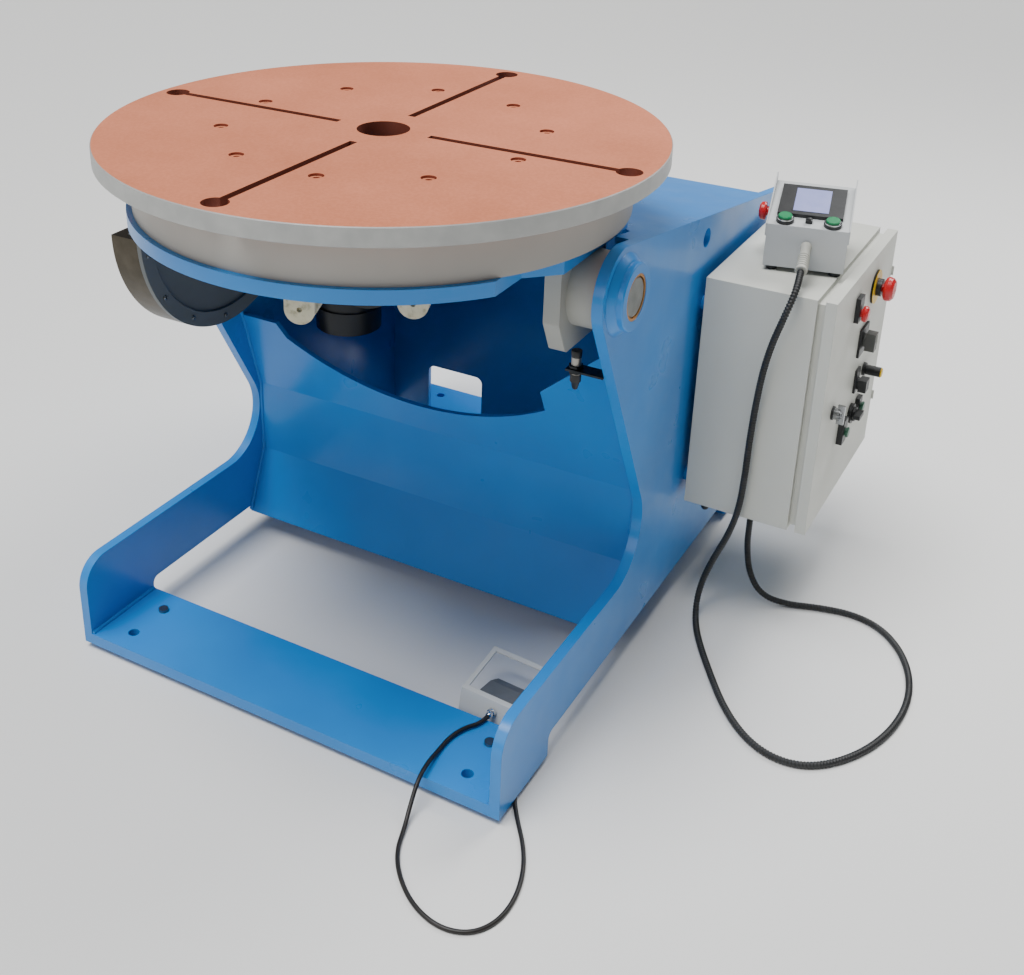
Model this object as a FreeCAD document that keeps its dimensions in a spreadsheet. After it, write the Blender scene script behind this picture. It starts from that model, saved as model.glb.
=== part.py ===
# Welding positioner: a tilting head with a turntable, carried in trunnions between two
# profiled side plates, with its control enclosure, hand pendant and foot pedal.
# Frame: +X across the machine (right), +Y to the rear, +Z up. The origin is the centre of the
# rectangle of floor anchor holes, on the underside of the foot plates.
import FreeCAD, Part
import math
import os
import re
import Sketcher
from FreeCAD import Placement, Rotation, Vector

doc = FreeCAD.newDocument("WeldingPositioner")
sheet = doc.addObject("Spreadsheet::Sheet", "Sizes")

# Driving dimensions, in millimetres and degrees.
SIZES = {
    # frame
    "frame_length": 1304, "frame_width": 935, "side_thick": 20, "foot_length": 184,
    "foot_thick": 24, "heel_height": 48, "heel_round": 15, "toe_height": 184, "toe_round": 58,
    "throat_round": 108, "nose_round": 83, "rear_round": 20, "lean_angle": 28.8,
    "roof_slope": 9.7, "axis_height": 822, "axis_reach": 384, "lifting_hole": 38,
    "lifting_reach": 405, "lifting_drop": 44,
    "anchor_inset": 47, "anchor_side": 87.5, "anchor_hole": 22,
    "jack_inset": 133, "jack_side": 90, "jack_thread": 20, "jack_drop": 12,
    # folded web
    "web_skin": 12, "web_bottom": 36, "web_reach": 131, "web_fold_reach": 188,
    "web_low_fold": 175, "web_high_fold": 340, "web_lean": 16.1, "web_crown": 700,
    "shoulder_height": 523, "shoulder_side": 89.5, "saddle_left": 338, "saddle_left_height": 490,
    "saddle_bottom": 402, "saddle_right": 268, "saddle_right_height": 484,
    "wing_foot_height": 528, "wing_angle": 42,
    # roof and back
    "roof_skin": 12, "roof_front": 60, "roof_inset": 142, "roof_opening": 300, "arm_width": 25.5,
    "back_skin": 12, "back_inset": 158, "window_inner": 190, "window_outer": 345,
    "window_height": 151, "window_round": 18,
    # trunnions
    "shaft_dia": 72, "bush_wall": 5, "boss_dia": 118, "boss_proud": 24, "weld_leg": 13,
    "washer_dia": 120, "washer_thick": 5.5, "running_gap": 0.05, "side_gap": 0.3,
    "bracket_thick": 30, "bracket_right": 365, "bracket_left": 342, "bracket_half": 88,
    "bracket_foot_half": 58, "bracket_shoulder": 42, "bracket_drop": 102, "hub_dia": 135,
    # tilting plate, slewing ring and table
    "plate_below": 68, "plate_thick": 25, "plate_dia": 900, "ear_reach": 416, "ear_cheek": 366,
    "ear_half": 126, "ear_root_half": 176, "left_reach": 430, "ring_height": 85,
    "ring_dia": 880, "race_dia": 744, "table_gap": 3, "table_dia": 1000, "table_thick": 32, "table_chamfer": 1.5,
    "bore_dia": 94, "slot_width": 15, "slot_start": 93, "keyhole_circle": 926,
    "keyhole_dia": 44, "screw_circle": 570, "screw_head": 24, "screw_inset": 4,
    # gears
    "gear_module": 6, "sector_teeth": 70, "pinion_teeth": 16, "pinion_angle": 6,
    "sector_width": 30, "sector_offset": 388, "ring_teeth": 100, "drive_teeth": 17,
    "drive_angle": 20, "drive_face": 50, "pinion_shaft_dia": 30,
    # gear guard
    "guard_radius": 240, "guard_skin": 3, "guard_rim": 30, "guard_rim_thick": 6,
    "guard_width": 60, "guard_sweep": 70, "guard_disc_sweep": 166, "cap_length": 90,
    # drives
    "tilt_box": 110, "tilt_box_rise": 42, "tilt_box_depth": 110, "tilt_motor_dia": 130,
    "tilt_motor_length": 230,
    "swing_box_width": 230, "swing_box_outer": 300, "swing_box_inner": 150,
    "swing_box_height": 60, "swing_motor_dia": 124, "swing_motor_length": 250,
    "lug_width": 50, "lug_reach": 364, "left_lug": -56, "left_lug_drop": 78,
    "right_lug": 126, "right_lug_drop": 52, "lug_hole": 9, "sensor_swing": 121,
    # control enclosure
    "box_gap": 15, "box_depth": 213.5, "box_front": 112, "box_length": 459, "box_foot": 231,
    "box_height": 493, "box_skin": 2, "lip_inset": 14, "lip_proud": 18, "door_gap": 15,
    "door_thick": 21, "hinge_dia": 10,
    # hand pendant and foot pedal
    "pendant_width": 150, "pendant_depth": 170, "pendant_front": 84, "pendant_slope": 11.3,
    "pendant_turn": 12, "pendant_x": 559, "pendant_y": 207, "pendant_foot": 10,
    "cheek_thick": 2.5, "cheek_apex": 135,
    "pedal_width": 132, "pedal_depth": 128, "pedal_turn": 4, "pedal_x": 272, "pedal_gap": 18,
    "pedal_skin": 3, "flange_height": 60, "hoop_rise": 22, "hoop_bar": 10,
    # cords
    "pedal_cord_dia": 8, "conduit_dia": 14,
}

# Dimensions that follow from the driving ones.
DERIVED = {
    "outer_x": "frame_width / 2",
    "inner_x": "frame_width / 2 - side_thick",
    "front_y": "-frame_length / 2",
    "rear_y": "frame_length / 2",
    "axis_y": "-frame_length / 2 + axis_reach",
    "anchor_y": "frame_length / 2 - anchor_inset",
    "anchor_x": "frame_width / 2 - anchor_side",
    "jack_y": "frame_length / 2 - jack_inset",
    "jack_x": "frame_width / 2 - jack_side",
    # corner where the leaning front edge would meet the roof line, tangent to the nose
    "peak_y": "-frame_length / 2 + axis_reach"
              " + nose_round * (sin(roof_slope) - cos(lean_angle)) / (1 - sin(roof_slope + lean_angle))",
    "peak_z": "axis_height"
              " + nose_round * (cos(roof_slope) - sin(lean_angle)) / (1 - sin(roof_slope + lean_angle))",
    "throat_y": "peak_y + (peak_z - toe_height) * tan(lean_angle)",
    "roof_rear_z": "peak_z - (frame_length / 2 - peak_y) * tan(roof_slope)",
    "roof_drop": "roof_skin / cos(roof_slope)",
    "shaft_r": "shaft_dia / 2",
    "bush_r": "shaft_dia / 2 + running_gap + bush_wall",
    "boss_r": "boss_dia / 2",
    "hub_face": "frame_width / 2 - side_thick - washer_thick - side_gap",
    "plate_z": "axis_height + plate_below",
    "ring_z": "axis_height + plate_below + plate_thick",
    "table_z": "axis_height + plate_below + plate_thick + ring_height",
    "table_top": "axis_height + plate_below + plate_thick + ring_height + table_thick",
    "pinion_reach": "gear_module * (sector_teeth + pinion_teeth) / 2",
    "pinion_y": "axis_y + pinion_reach * cos(pinion_angle)",
    "pinion_z": "axis_height - pinion_reach * sin(pinion_angle)",
    "drive_reach": "gear_module * (ring_teeth - drive_teeth) / 2",
    "box_x": "frame_width / 2 + box_gap",
    "box_face": "frame_width / 2 + box_gap + box_depth",
    "box_rear": "box_front + box_length",
    "box_top": "box_foot + box_height",
    "door_x": "frame_width / 2 + box_gap + box_depth + door_gap",
    "door_face": "frame_width / 2 + box_gap + box_depth + door_gap + door_thick",
    "hinge_y": "box_front + box_length + hinge_dia / 2 + 1",
    "pedal_y": "-frame_length / 2 + foot_length + pedal_gap",
}


def fill_sheet():
    """Write both tables to the sheet, a name, a value or formula and an alias on each row."""
    rows = [(name, "%g" % value) for name, value in SIZES.items()]
    rows += [(name, "=" + formula) for name, formula in DERIVED.items()]
    for row, (name, content) in enumerate(rows, start=1):
        sheet.set("A%d" % row, name)
        sheet.set("B%d" % row, content)
        sheet.setAlias("B%d" % row, name)
    doc.recompute()


fill_sheet()
WORD = re.compile(r"[a-z_]+")


def qualified(formula):
    """The same formula for use outside the sheet: each alias gets the sheet's name."""
    def named(word):
        known = word.group(0) in SIZES or word.group(0) in DERIVED
        return "Sizes." + word.group(0) if known else word.group(0)
    return WORD.sub(named, str(formula))


def num(formula):
    """The present value of a formula over the sheet's names."""
    return float(sheet.evalExpression(str(formula)))


def bind(thing, prop, formula):
    thing.setExpression(prop, qualified(formula))


TURN = {
    "x": Rotation(Vector(0, 1, 0), 90),
    "-x": Rotation(Vector(0, 1, 0), -90),
    "y": Rotation(Vector(1, 0, 0), -90),
    "-y": Rotation(Vector(1, 0, 0), 90),
    "z": Rotation(),
    "-z": Rotation(Vector(1, 0, 0), 180),
}


def seat(thing, at, turn):
    """Place a thing: its turn is fixed, its position follows the sheet."""
    thing.Placement = Placement(Vector(*[num(value) for value in at]), turn)
    for axis, value in zip("xyz", at):
        bind(thing, "Placement.Base." + axis, value)


# ---- Part primitives -------------------------------------------------------------------

def box(name, size, at, turn=TURN["z"]):
    thing = doc.addObject("Part::Box", name)
    for prop, value in zip(("Length", "Width", "Height"), size):
        bind(thing, prop, value)
    seat(thing, at, turn)
    return thing


def rod(name, radius, length, at, axis="z"):
    thing = doc.addObject("Part::Cylinder", name)
    bind(thing, "Radius", radius)
    bind(thing, "Height", length)
    seat(thing, at, TURN[axis])
    return thing


def fused(name, pieces):
    thing = doc.addObject("Part::MultiFuse", name)
    thing.Shapes = pieces
    return thing


def cut(name, base, tools):
    thing = doc.addObject("Part::Cut", name)
    thing.Base = base
    thing.Tool = tools[0] if len(tools) == 1 else fused(name + "_tools", tools)
    return thing


def group(name, pieces):
    thing = doc.addObject("Part::Compound", name)
    thing.Links = pieces
    return thing


# ---- PartDesign bodies -----------------------------------------------------------------

def sketch_on(body, plane, offset="0", loops=(), circles=()):
    """A sketch on one of the body's own planes, every corner and centre held by the sheet."""
    sketch = body.newObject("Sketcher::SketchObject", body.Name + "_sketch")
    datum = [item for item in body.Origin.OriginFeatures if item.Role == plane][0]
    sketch.AttachmentSupport = [(datum, "")]
    sketch.MapMode = "FlatFace"
    bind(sketch, "AttachmentOffset.Base.z", offset)
    for corners in loops:
        first = sketch.GeometryCount
        spots = [Vector(num(x), num(y), 0) for x, y in corners]
        count = len(spots)
        for k in range(count):
            sketch.addGeometry(Part.LineSegment(spots[k], spots[(k + 1) % count]), False)
        for k in range(count):
            sketch.addConstraint(Sketcher.Constraint(
                "Coincident", first + k, 2, first + (k + 1) % count, 1))
        for k, (x, y) in enumerate(corners):
            hold(sketch, first + k, 1, x, y)
    for x, y, radius in circles:
        place = Vector(num(x), num(y), 0)
        index = sketch.addGeometry(Part.Circle(place, Vector(0, 0, 1), num(radius)), False)
        hold(sketch, index, 3, x, y)
        limit = sketch.addConstraint(Sketcher.Constraint("Radius", index, num(radius)))
        bind(sketch, "Constraints[%d]" % limit, radius)
    return sketch


def hold(sketch, index, point, x, y):
    for kind, value in (("DistanceX", x), ("DistanceY", y)):
        limit = sketch.addConstraint(
            Sketcher.Constraint(kind, -1, 1, index, point, num(value)))
        bind(sketch, "Constraints[%d]" % limit, value)


def new_body(name):
    return doc.addObject("PartDesign::Body", name)


def pad(body, length, plane, offset="0", loops=(), circles=()):
    sketch = sketch_on(body, plane, offset, loops, circles)
    feature = body.newObject("PartDesign::Pad", body.Name + "_pad")
    feature.Profile = sketch
    bind(feature, "Length", length)
    doc.recompute()
    return feature


def pocket(body, length, plane, offset="0", loops=(), circles=()):
    """Cut both ways from the sketch plane, so that its direction never matters."""
    sketch = sketch_on(body, plane, offset, loops, circles)
    feature = body.newObject("PartDesign::Pocket", body.Name + "_pocket")
    feature.Profile = sketch
    feature.Midplane = True
    bind(feature, "Length", length)
    doc.recompute()
    return feature


SEEN = {"XY_Plane": ("x", "y"), "XZ_Plane": ("x", "z"), "YZ_Plane": ("y", "z")}


def round_edges(body, plane, corners, radius):
    """Round the edges that stand square to the plane at the given corners."""
    first, second = SEEN[plane]
    base = body.Tip
    names = []
    for index, edge in enumerate(base.Shape.Edges, start=1):
        for x, y in corners:
            spots = [vertex.Point for vertex in edge.Vertexes]
            near = [abs(getattr(spot, first) - num(x)) < 0.01
                    and abs(getattr(spot, second) - num(y)) < 0.01 for spot in spots]
            if len(near) == 2 and all(near):
                names.append("Edge%d" % index)
    feature = body.newObject("PartDesign::Fillet", body.Name + "_round")
    feature.Base = (base, names)
    bind(feature, "Radius", radius)
    doc.recompute()
    return feature


def break_edges(body, radius, size):
    """Chamfer the round edges of one radius."""
    base = body.Tip
    names = ["Edge%d" % index for index, edge in enumerate(base.Shape.Edges, start=1)
             if getattr(edge.Curve, "Radius", 0) and abs(edge.Curve.Radius - num(radius)) < 0.01]
    feature = body.newObject("PartDesign::Chamfer", body.Name + "_chamfer")
    feature.Base = (base, names)
    bind(feature, "Size", size)
    doc.recompute()
    return feature


def plate(name, plane, offset, length, loops, circles=(), rounds=()):
    """A flat plate: one padded outline with its holes, then its rounded corners."""
    body = new_body(name)
    pad(body, length, plane, offset, loops, circles)
    for corners, radius in rounds:
        round_edges(body, plane, corners, radius)
    return body


def revolved(name, profile):
    """(radius, distance) corners revolved about the body's own upright axis."""
    body = new_body(name)
    sketch = sketch_on(body, "XZ_Plane", "0", [profile])
    turn = body.newObject("PartDesign::Revolution", name + "_turn")
    turn.Profile = sketch
    turn.ReferenceAxis = (sketch, ["V_Axis"])
    turn.Angle = 360
    doc.recompute()
    return body


def turned(name, profile, at, axis):
    """A revolved piece seated at a spot, its axis turned to the one named."""
    body = revolved(name, profile)
    seat(body, at, TURN[axis])
    doc.recompute()
    return body


def feature(name, shape, place=Placement()):
    thing = doc.addObject("Part::Feature", name)
    thing.Shape = shape
    thing.Placement = place
    return thing


def rectangle(x0, y0, x1, y1):
    return [(x0, y0), (x1, y0), (x1, y1), (x0, y1)]


# ---- frame -----------------------------------------------------------------------------

def side_plate(name, offset):
    """Profiled side plate: toe, round throat, nose about the trunnion and sloping roof edge."""
    outline = [
        ("front_y", "0"), ("front_y + foot_length", "0"),
        ("front_y + foot_length", "heel_height"), ("rear_y - foot_length", "heel_height"),
        ("rear_y - foot_length", "0"), ("rear_y", "0"), ("rear_y", "roof_rear_z"),
        ("peak_y", "peak_z"), ("throat_y", "toe_height"), ("front_y", "toe_height"),
    ]
    lifting_z = "peak_z - (axis_y + lifting_reach - peak_y) * tan(roof_slope) - lifting_drop"
    holes = [
        ("axis_y", "axis_height", "boss_r"),
        ("axis_y + lifting_reach", lifting_z, "lifting_hole / 2"),
    ]
    rounds = [
        ([outline[2], outline[3]], "heel_round"), ([outline[6]], "rear_round"),
        ([outline[7]], "nose_round"), ([outline[8]], "throat_round"),
        ([outline[9]], "toe_round"),
    ]
    return plate(name, "YZ_Plane", offset, "side_thick", [outline], holes, rounds)


def foot_plate(name, y0, y1, anchor_y, jack_y):
    holes = []
    for side in ("", "-"):
        holes.append((side + "anchor_x", anchor_y, "anchor_hole / 2"))
        holes.append((side + "jack_x", jack_y, "jack_thread / 2"))
    outline = rectangle("-inner_x", y0, "inner_x", y1)
    return plate(name, "XY_Plane", "0", "foot_thick", [outline], holes)


def front_web():
    """Folded sheet between the side plates, with a saddle cut for the tilting head."""
    body = new_body("front_web")
    lean = "axis_y + web_fold_reach - (web_crown - web_high_fold) * tan(web_lean)"
    face = [
        ("axis_y + web_reach", "web_bottom"), ("axis_y + web_fold_reach", "web_low_fold"),
        ("axis_y + web_fold_reach", "web_high_fold"), (lean, "web_crown"),
    ]
    back = [(y + " + web_skin", z) for y, z in reversed(face)]
    pad(body, "2 * inner_x", "YZ_Plane", "-inner_x", [face + back])
    saddle_arc(body)
    return body


def saddle_arc(body):
    """Cut the top of the web: left shoulder, round saddle, then the wing rising to the right."""
    left = Vector(-num("saddle_left"), num("saddle_left_height"), 0)
    right = Vector(num("saddle_right"), num("saddle_right_height"), 0)
    low = Vector((left.x + right.x) / 2 + 10, num("saddle_bottom"), 0)
    wing_x = num("saddle_right - 6")
    shoulder_x = num("-inner_x + shoulder_side")
    over = num("web_crown + 20")
    reach = num("inner_x + 20")
    wing_end = num("wing_foot_height") + (reach - wing_x) * math.tan(
        math.radians(num("wing_angle")))
    corners = [
        right, Vector(wing_x, num("wing_foot_height"), 0), Vector(reach, wing_end, 0),
        Vector(reach, over, 0), Vector(-reach, over, 0),
        Vector(-reach, num("shoulder_height"), 0),
        Vector(shoulder_x, num("shoulder_height"), 0), left,
    ]
    sketch = body.newObject("Sketcher::SketchObject", "saddle_sketch")
    datum = [item for item in body.Origin.OriginFeatures if item.Role == "XZ_Plane"][0]
    sketch.AttachmentSupport = [(datum, "")]
    sketch.MapMode = "FlatFace"
    for start, end in zip(corners, corners[1:]):
        sketch.addGeometry(Part.LineSegment(start, end), False)
    sketch.addGeometry(Part.Arc(left, low, right), False)
    last = len(corners) - 1
    for k in range(last - 1):
        sketch.addConstraint(Sketcher.Constraint("Coincident", k, 2, k + 1, 1))
    arc_left, arc_right = (1, 2) if sketch.getPoint(last, 1).distanceToPoint(left) < 0.1 else (2, 1)
    sketch.addConstraint(Sketcher.Constraint("Coincident", last - 1, 2, last, arc_left))
    sketch.addConstraint(Sketcher.Constraint("Coincident", last, arc_right, 0, 1))
    opening = body.newObject("PartDesign::Pocket", "saddle")
    opening.Profile = sketch
    opening.Midplane = True
    bind(opening, "Length", "2 * frame_length")
    doc.recompute()


def roof_z(y):
    """Height of the sloping roof edge at a distance along Y."""
    return "peak_z - (%s - peak_y) * tan(roof_slope)" % y


def top_plate():
    """Sloping roof, open at the front where the head and the toothed sector swing."""
    body = new_body("top_plate")
    front, rear = "(axis_y + roof_front)", "(rear_y - roof_inset)"
    outline = [
        (front, roof_z(front)), (rear, roof_z(rear)),
        (rear, roof_z(rear) + " - roof_drop"), (front, roof_z(front) + " - roof_drop"),
    ]
    pad(body, "2 * inner_x", "YZ_Plane", "-inner_x", [outline])
    opening = [
        ("-inner_x - 1", "axis_y + roof_front - 1"),
        ("inner_x - arm_width", "axis_y + roof_front - 1"),
        ("inner_x - arm_width", "axis_y + roof_front + 65"),
        ("inner_x - arm_width - 77", "axis_y + roof_front + 145"),
        ("inner_x - arm_width - 82", "axis_y + roof_opening"),
        ("-inner_x - 1", "axis_y + roof_opening"),
    ]
    pocket(body, "4 * axis_height", "XY_Plane", "0", [opening])
    return body


def back_plate():
    """Upright back between the side plates, with two windows open at the foot."""
    rear = "(rear_y - back_inset)"
    top = roof_z(rear) + " - roof_drop"
    sill = "foot_thick"
    head = "foot_thick + window_height"
    outline = [
        ("-inner_x", sill), ("-window_outer", sill), ("-window_outer", head),
        ("-window_inner", head), ("-window_inner", sill), ("window_inner", sill),
        ("window_inner", head), ("window_outer", head), ("window_outer", sill),
        ("inner_x", sill), ("inner_x", top), ("-inner_x", top),
    ]
    corners = [outline[2], outline[3], outline[6], outline[7]]
    return plate("back_plate", "XZ_Plane", "-" + rear, "back_skin", [outline],
                 rounds=[(corners, "window_round")])


def levelling_screws():
    screws = []
    for x in ("-jack_x", "jack_x"):
        for y in ("-jack_y", "jack_y"):
            screws.append(rod("jack_screw", "jack_thread / 2", "jack_drop + foot_thick + 6",
                              (x, y, "-jack_drop")))
    return group("levelling_screws", screws)


def build_frame():
    return [
        side_plate("left_side_plate", "-outer_x"),
        side_plate("right_side_plate", "inner_x"),
        foot_plate("front_foot_plate", "front_y", "front_y + foot_length", "-anchor_y", "-jack_y"),
        foot_plate("rear_foot_plate", "rear_y - foot_length", "rear_y", "anchor_y", "jack_y"),
        front_web(), top_plate(), back_plate(), levelling_screws(),
    ]


# ---- trunnions -------------------------------------------------------------------------

def pair(name, profile, distance):
    """Two turned pieces, mirror images of each other, on the tilt axis."""
    right = turned(name + "_right", profile, (distance, "axis_y", "axis_height"), "x")
    left = turned(name + "_left", profile, ("-" + distance, "axis_y", "axis_height"), "-x")
    return group(name, [right, left])


def build_trunnions():
    end = "side_thick + boss_proud"
    boss = [
        ("bush_r", "0"), ("boss_r", "0"), ("boss_r", "side_thick"),
        ("boss_r + weld_leg", "side_thick"), ("boss_r + 3", "side_thick + weld_leg - 2"),
        ("boss_r", "side_thick + weld_leg"), ("boss_r", end + " - 2"), ("boss_r - 2", end),
        ("bush_r", end),
    ]
    bush = [
        ("shaft_r + running_gap", "-washer_thick"), ("washer_dia / 2", "-washer_thick"),
        ("washer_dia / 2", "0"), ("bush_r", "0"), ("bush_r", end + " - 1"),
        ("shaft_r + running_gap", end + " - 1"),
    ]
    return [pair("trunnion_bosses", boss, "inner_x"), pair("trunnion_bushes", bush, "inner_x")]


def trunnion_bracket(name, inner, direction):
    """Plate hung from the tilting plate, with a round hub that carries its trunnion shaft."""
    body = new_body(name)
    outline = [
        ("axis_y - bracket_half", "plate_z"),
        ("axis_y - bracket_half", "axis_height - bracket_shoulder"),
        ("axis_y - bracket_foot_half", "axis_height - bracket_drop"),
        ("axis_y + bracket_foot_half", "axis_height - bracket_drop"),
        ("axis_y + bracket_half", "axis_height - bracket_shoulder"),
        ("axis_y + bracket_half", "plate_z"),
    ]
    bore = ("axis_y", "axis_height", "shaft_r")
    hub = ("axis_y", "axis_height", "hub_dia / 2")
    if direction > 0:
        pad(body, "bracket_thick", "YZ_Plane", inner, [outline], [bore])
        hub_start = inner + " + bracket_thick"
        round_edges(body, "YZ_Plane", outline[1:5], "12")
        pad(body, "hub_face - (" + hub_start + ")", "YZ_Plane", hub_start, (), [hub, bore])
    else:
        pad(body, "bracket_thick", "YZ_Plane", "-" + inner + " - bracket_thick", [outline], [bore])
        round_edges(body, "YZ_Plane", outline[1:5], "12")
        pad(body, "hub_face - " + inner + " - bracket_thick", "YZ_Plane", "-hub_face", (),
            [hub, bore])
    return body


def trunnion_shafts():
    end = "inner_x + side_thick + boss_proud - 2"
    shafts = []
    for name, inner, axis, sign in (("right", "bracket_right", "x", ""),
                                    ("left", "bracket_left", "-x", "-")):
        reach = end + " - " + inner
        profile = [("0", "0"), ("shaft_r", "0"), ("shaft_r", reach + " - 3"),
                   ("shaft_r - 3", reach), ("0", reach)]
        shafts.append(turned("shaft_" + name, profile,
                             (sign + inner, "axis_y", "axis_height"), axis))
    return group("trunnion_shafts", shafts)


# ---- tilting plate, slewing ring and table ----------------------------------------------

def tilting_plate():
    """Round plate, cut straight at both cheeks, with an ear over the right trunnion."""
    disc = rod("plate_disc", "plate_dia / 2", "plate_thick", ("0", "axis_y", "plate_z"))
    trim = box("plate_trim", ("left_reach + ear_cheek", "plate_dia + 20", "plate_thick + 20"),
               ("-left_reach", "axis_y - plate_dia / 2 - 10", "plate_z - 10"))
    common = doc.addObject("Part::MultiCommon", "plate_trimmed")
    common.Shapes = [disc, trim]
    ear_outline = [
        ("ear_cheek - 20", "axis_y - ear_root_half - 20"), ("ear_cheek", "axis_y - ear_root_half"),
        ("ear_reach", "axis_y - ear_half"), ("ear_reach", "axis_y + ear_half"),
        ("ear_cheek", "axis_y + ear_root_half"),
        ("ear_cheek - 20", "axis_y + ear_root_half + 20"),
    ]
    ear = plate("plate_ear", "XY_Plane", "plate_z", "plate_thick", [ear_outline])
    whole = fused("plate_whole", [common, ear])
    bore = rod("plate_bore", "bore_dia / 2 + 10", "plate_thick + 2", ("0", "axis_y", "plate_z - 1"))
    shaft_hole = rod("plate_shaft_hole", "pinion_shaft_dia / 2 + 4", "plate_thick + 2",
                     ("drive_reach * sin(drive_angle)",
                      "axis_y - drive_reach * cos(drive_angle)", "plate_z - 1"))
    return cut("tilting_plate", whole, [bore, shaft_hole])


def slewing_ring():
    bottom, top = "0", "ring_height - table_gap"
    profile = [
        ("race_dia / 2", bottom), ("ring_dia / 2", bottom), ("ring_dia / 2", top + " - 2"),
        ("ring_dia / 2 - 2", top), ("race_dia / 2", top),
    ]
    return turned("slewing_outer_ring", profile, ("0", "axis_y", "ring_z"), "z")


def table_plate():
    """Round table with a centre bore, four radial slots and a keyhole at the end of each."""
    body = new_body("table_plate")
    key = "keyhole_circle / 2"
    keyholes = [(key, "axis_y", "keyhole_dia / 2"), ("-" + key, "axis_y", "keyhole_dia / 2"),
                ("0", "axis_y + " + key, "keyhole_dia / 2"),
                ("0", "axis_y - " + key, "keyhole_dia / 2")]
    pad(body, "table_thick", "XY_Plane", "table_z", (),
        [("0", "axis_y", "table_dia / 2"), ("0", "axis_y", "bore_dia / 2")])
    slots = []
    for sign in ("", "-"):
        slots.append(rectangle(sign + "slot_start", "axis_y - slot_width / 2",
                               sign + key, "axis_y + slot_width / 2"))
        slots.append(rectangle("-slot_width / 2", "axis_y %s slot_start" % (sign or "+"),
                               "slot_width / 2", "axis_y %s %s" % (sign or "+", key)))
    pocket(body, "4 * table_z", "XY_Plane", "0", slots)
    pocket(body, "4 * table_z", "XY_Plane", "0", (), keyholes)
    heads = []
    for x, y in screw_spots():
        heads.append(("%.6f * screw_circle / 2" % x, "axis_y + %.6f * screw_circle / 2" % y,
                      "screw_head / 2 + 1"))
    pocket(body, "2 * (table_top - table_z - table_thick / 2)", "XY_Plane", "table_top", (), heads)
    break_edges(body, "table_dia / 2", "table_chamfer")
    return body


def screw_spots():
    """Ten screws on one circle, a tenth of a turn apart."""
    start = -7.2
    return [(math.cos(math.radians(start + 36 * k)), math.sin(math.radians(start + 36 * k)))
            for k in range(10)]


def table_screws():
    """Socket screws sunk in the table, each with a hexagon recess."""
    screws = []
    profile = [
        ("screw_head / 2", "0"), ("screw_head / 2", "table_thick / 2 - screw_inset"),
        ("screw_head / 4", "table_thick / 2 - screw_inset"),
        ("screw_head / 4", "table_thick / 4"), ("0", "table_thick / 4"), ("0", "0"),
    ]
    for x, y in screw_spots():
        screws.append(turned("table_screw", profile,
                             ("%.6f * screw_circle / 2" % x,
                              "axis_y + %.6f * screw_circle / 2" % y,
                              "table_z + table_thick / 2"), "z"))
    return group("table_screws", screws)


# ---- gears -----------------------------------------------------------------------------

def involute_outline(teeth, module, tip, root, play, turn=0.0, first=0, count=None):
    """Corners of a gear's teeth: involute flanks of 20 degrees between root and tip circles."""
    pitch_r = teeth * module / 2
    base_r = pitch_r * math.cos(math.radians(20))
    spread = math.tan(math.radians(20)) - math.radians(20)
    half = math.pi / (2 * teeth) - play / (2 * pitch_r) + spread
    steps = 4
    corners = []
    for k in range(first, first + (count or teeth)):
        centre = math.radians(turn) + 2 * math.pi * k / teeth
        flank = []
        for step in range(steps):
            radius = max(base_r, root) + (tip - max(base_r, root)) * step / (steps - 1)
            angle = math.sqrt(max(0.0, (radius / base_r) ** 2 - 1))
            flank.append((radius, half - (angle - math.atan(angle))))
        rise = [(radius, centre - angle) for radius, angle in flank]
        fall = [(radius, centre + angle) for radius, angle in reversed(flank)]
        if root < base_r:
            rise.insert(0, (root, centre - half))
            fall.append((root, centre + half))
        corners += rise + fall
    return [Vector(r * math.cos(a), r * math.sin(a), 0) for r, a in corners]


def prism(corners, width):
    wire = Part.makePolygon(corners + [corners[0]])
    return Part.Face(wire).extrude(Vector(0, 0, width))


# A shape drawn in XY, with its width along Z, turned to lie in YZ with its width along X.
UPRIGHT = Rotation(Vector(1, 1, 1), 120)


def above_plate_line(reach):
    """The space of the tilting plate, in the frame of a hub piece: it is cut away there."""
    level = num("plate_below - side_gap")
    return Part.makeBox(2 * reach, reach, 4 * reach, Vector(-reach, level, -reach))


def tilt_sector():
    """Toothed sector on the left hub; its teeth pass the pinion as the head tilts."""
    module, teeth = num("gear_module"), int(num("sector_teeth"))
    pitch_r = teeth * module / 2
    tooth = 360.0 / teeth
    mesh = -num("pinion_angle")
    count = int(math.ceil(111 / tooth))
    first = -int(math.ceil(98 / tooth))
    corners = involute_outline(teeth, module, pitch_r + module, pitch_r - 1.25 * module, 0.4,
                               mesh + tooth / 2, first, count)
    web_r = num("hub_dia / 2") + 26
    start = math.atan2(corners[-1].y, corners[-1].x)
    end = math.atan2(corners[0].y, corners[0].x)
    inside = [Vector(web_r * math.cos(a), web_r * math.sin(a), 0)
              for a in (start, (start + end) / 2, end)]
    width = num("sector_width")
    blade = Part.Face(Part.makePolygon(corners + inside + [corners[0]]))
    blade = blade.extrude(Vector(0, 0, width))
    collar = Part.makeCylinder(web_r + 4, width)
    bore = Part.makeCylinder(num("hub_dia / 2"), width)
    lightening = [Part.makeCylinder(24, width, Vector(150 * math.cos(math.radians(a)),
                                                      150 * math.sin(math.radians(a)), 0))
                  for a in (-15, -48, -81)]
    shape = blade.fuse(collar).cut(bore).cut(Part.makeCompound(lightening))
    shape = shape.cut(above_plate_line(web_r + 10)).removeSplitter()
    place = Placement(Vector(-num("sector_offset + sector_width"), num("axis_y"),
                             num("axis_height")), UPRIGHT)
    return feature("tilt_sector_gear", shape, place)


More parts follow.
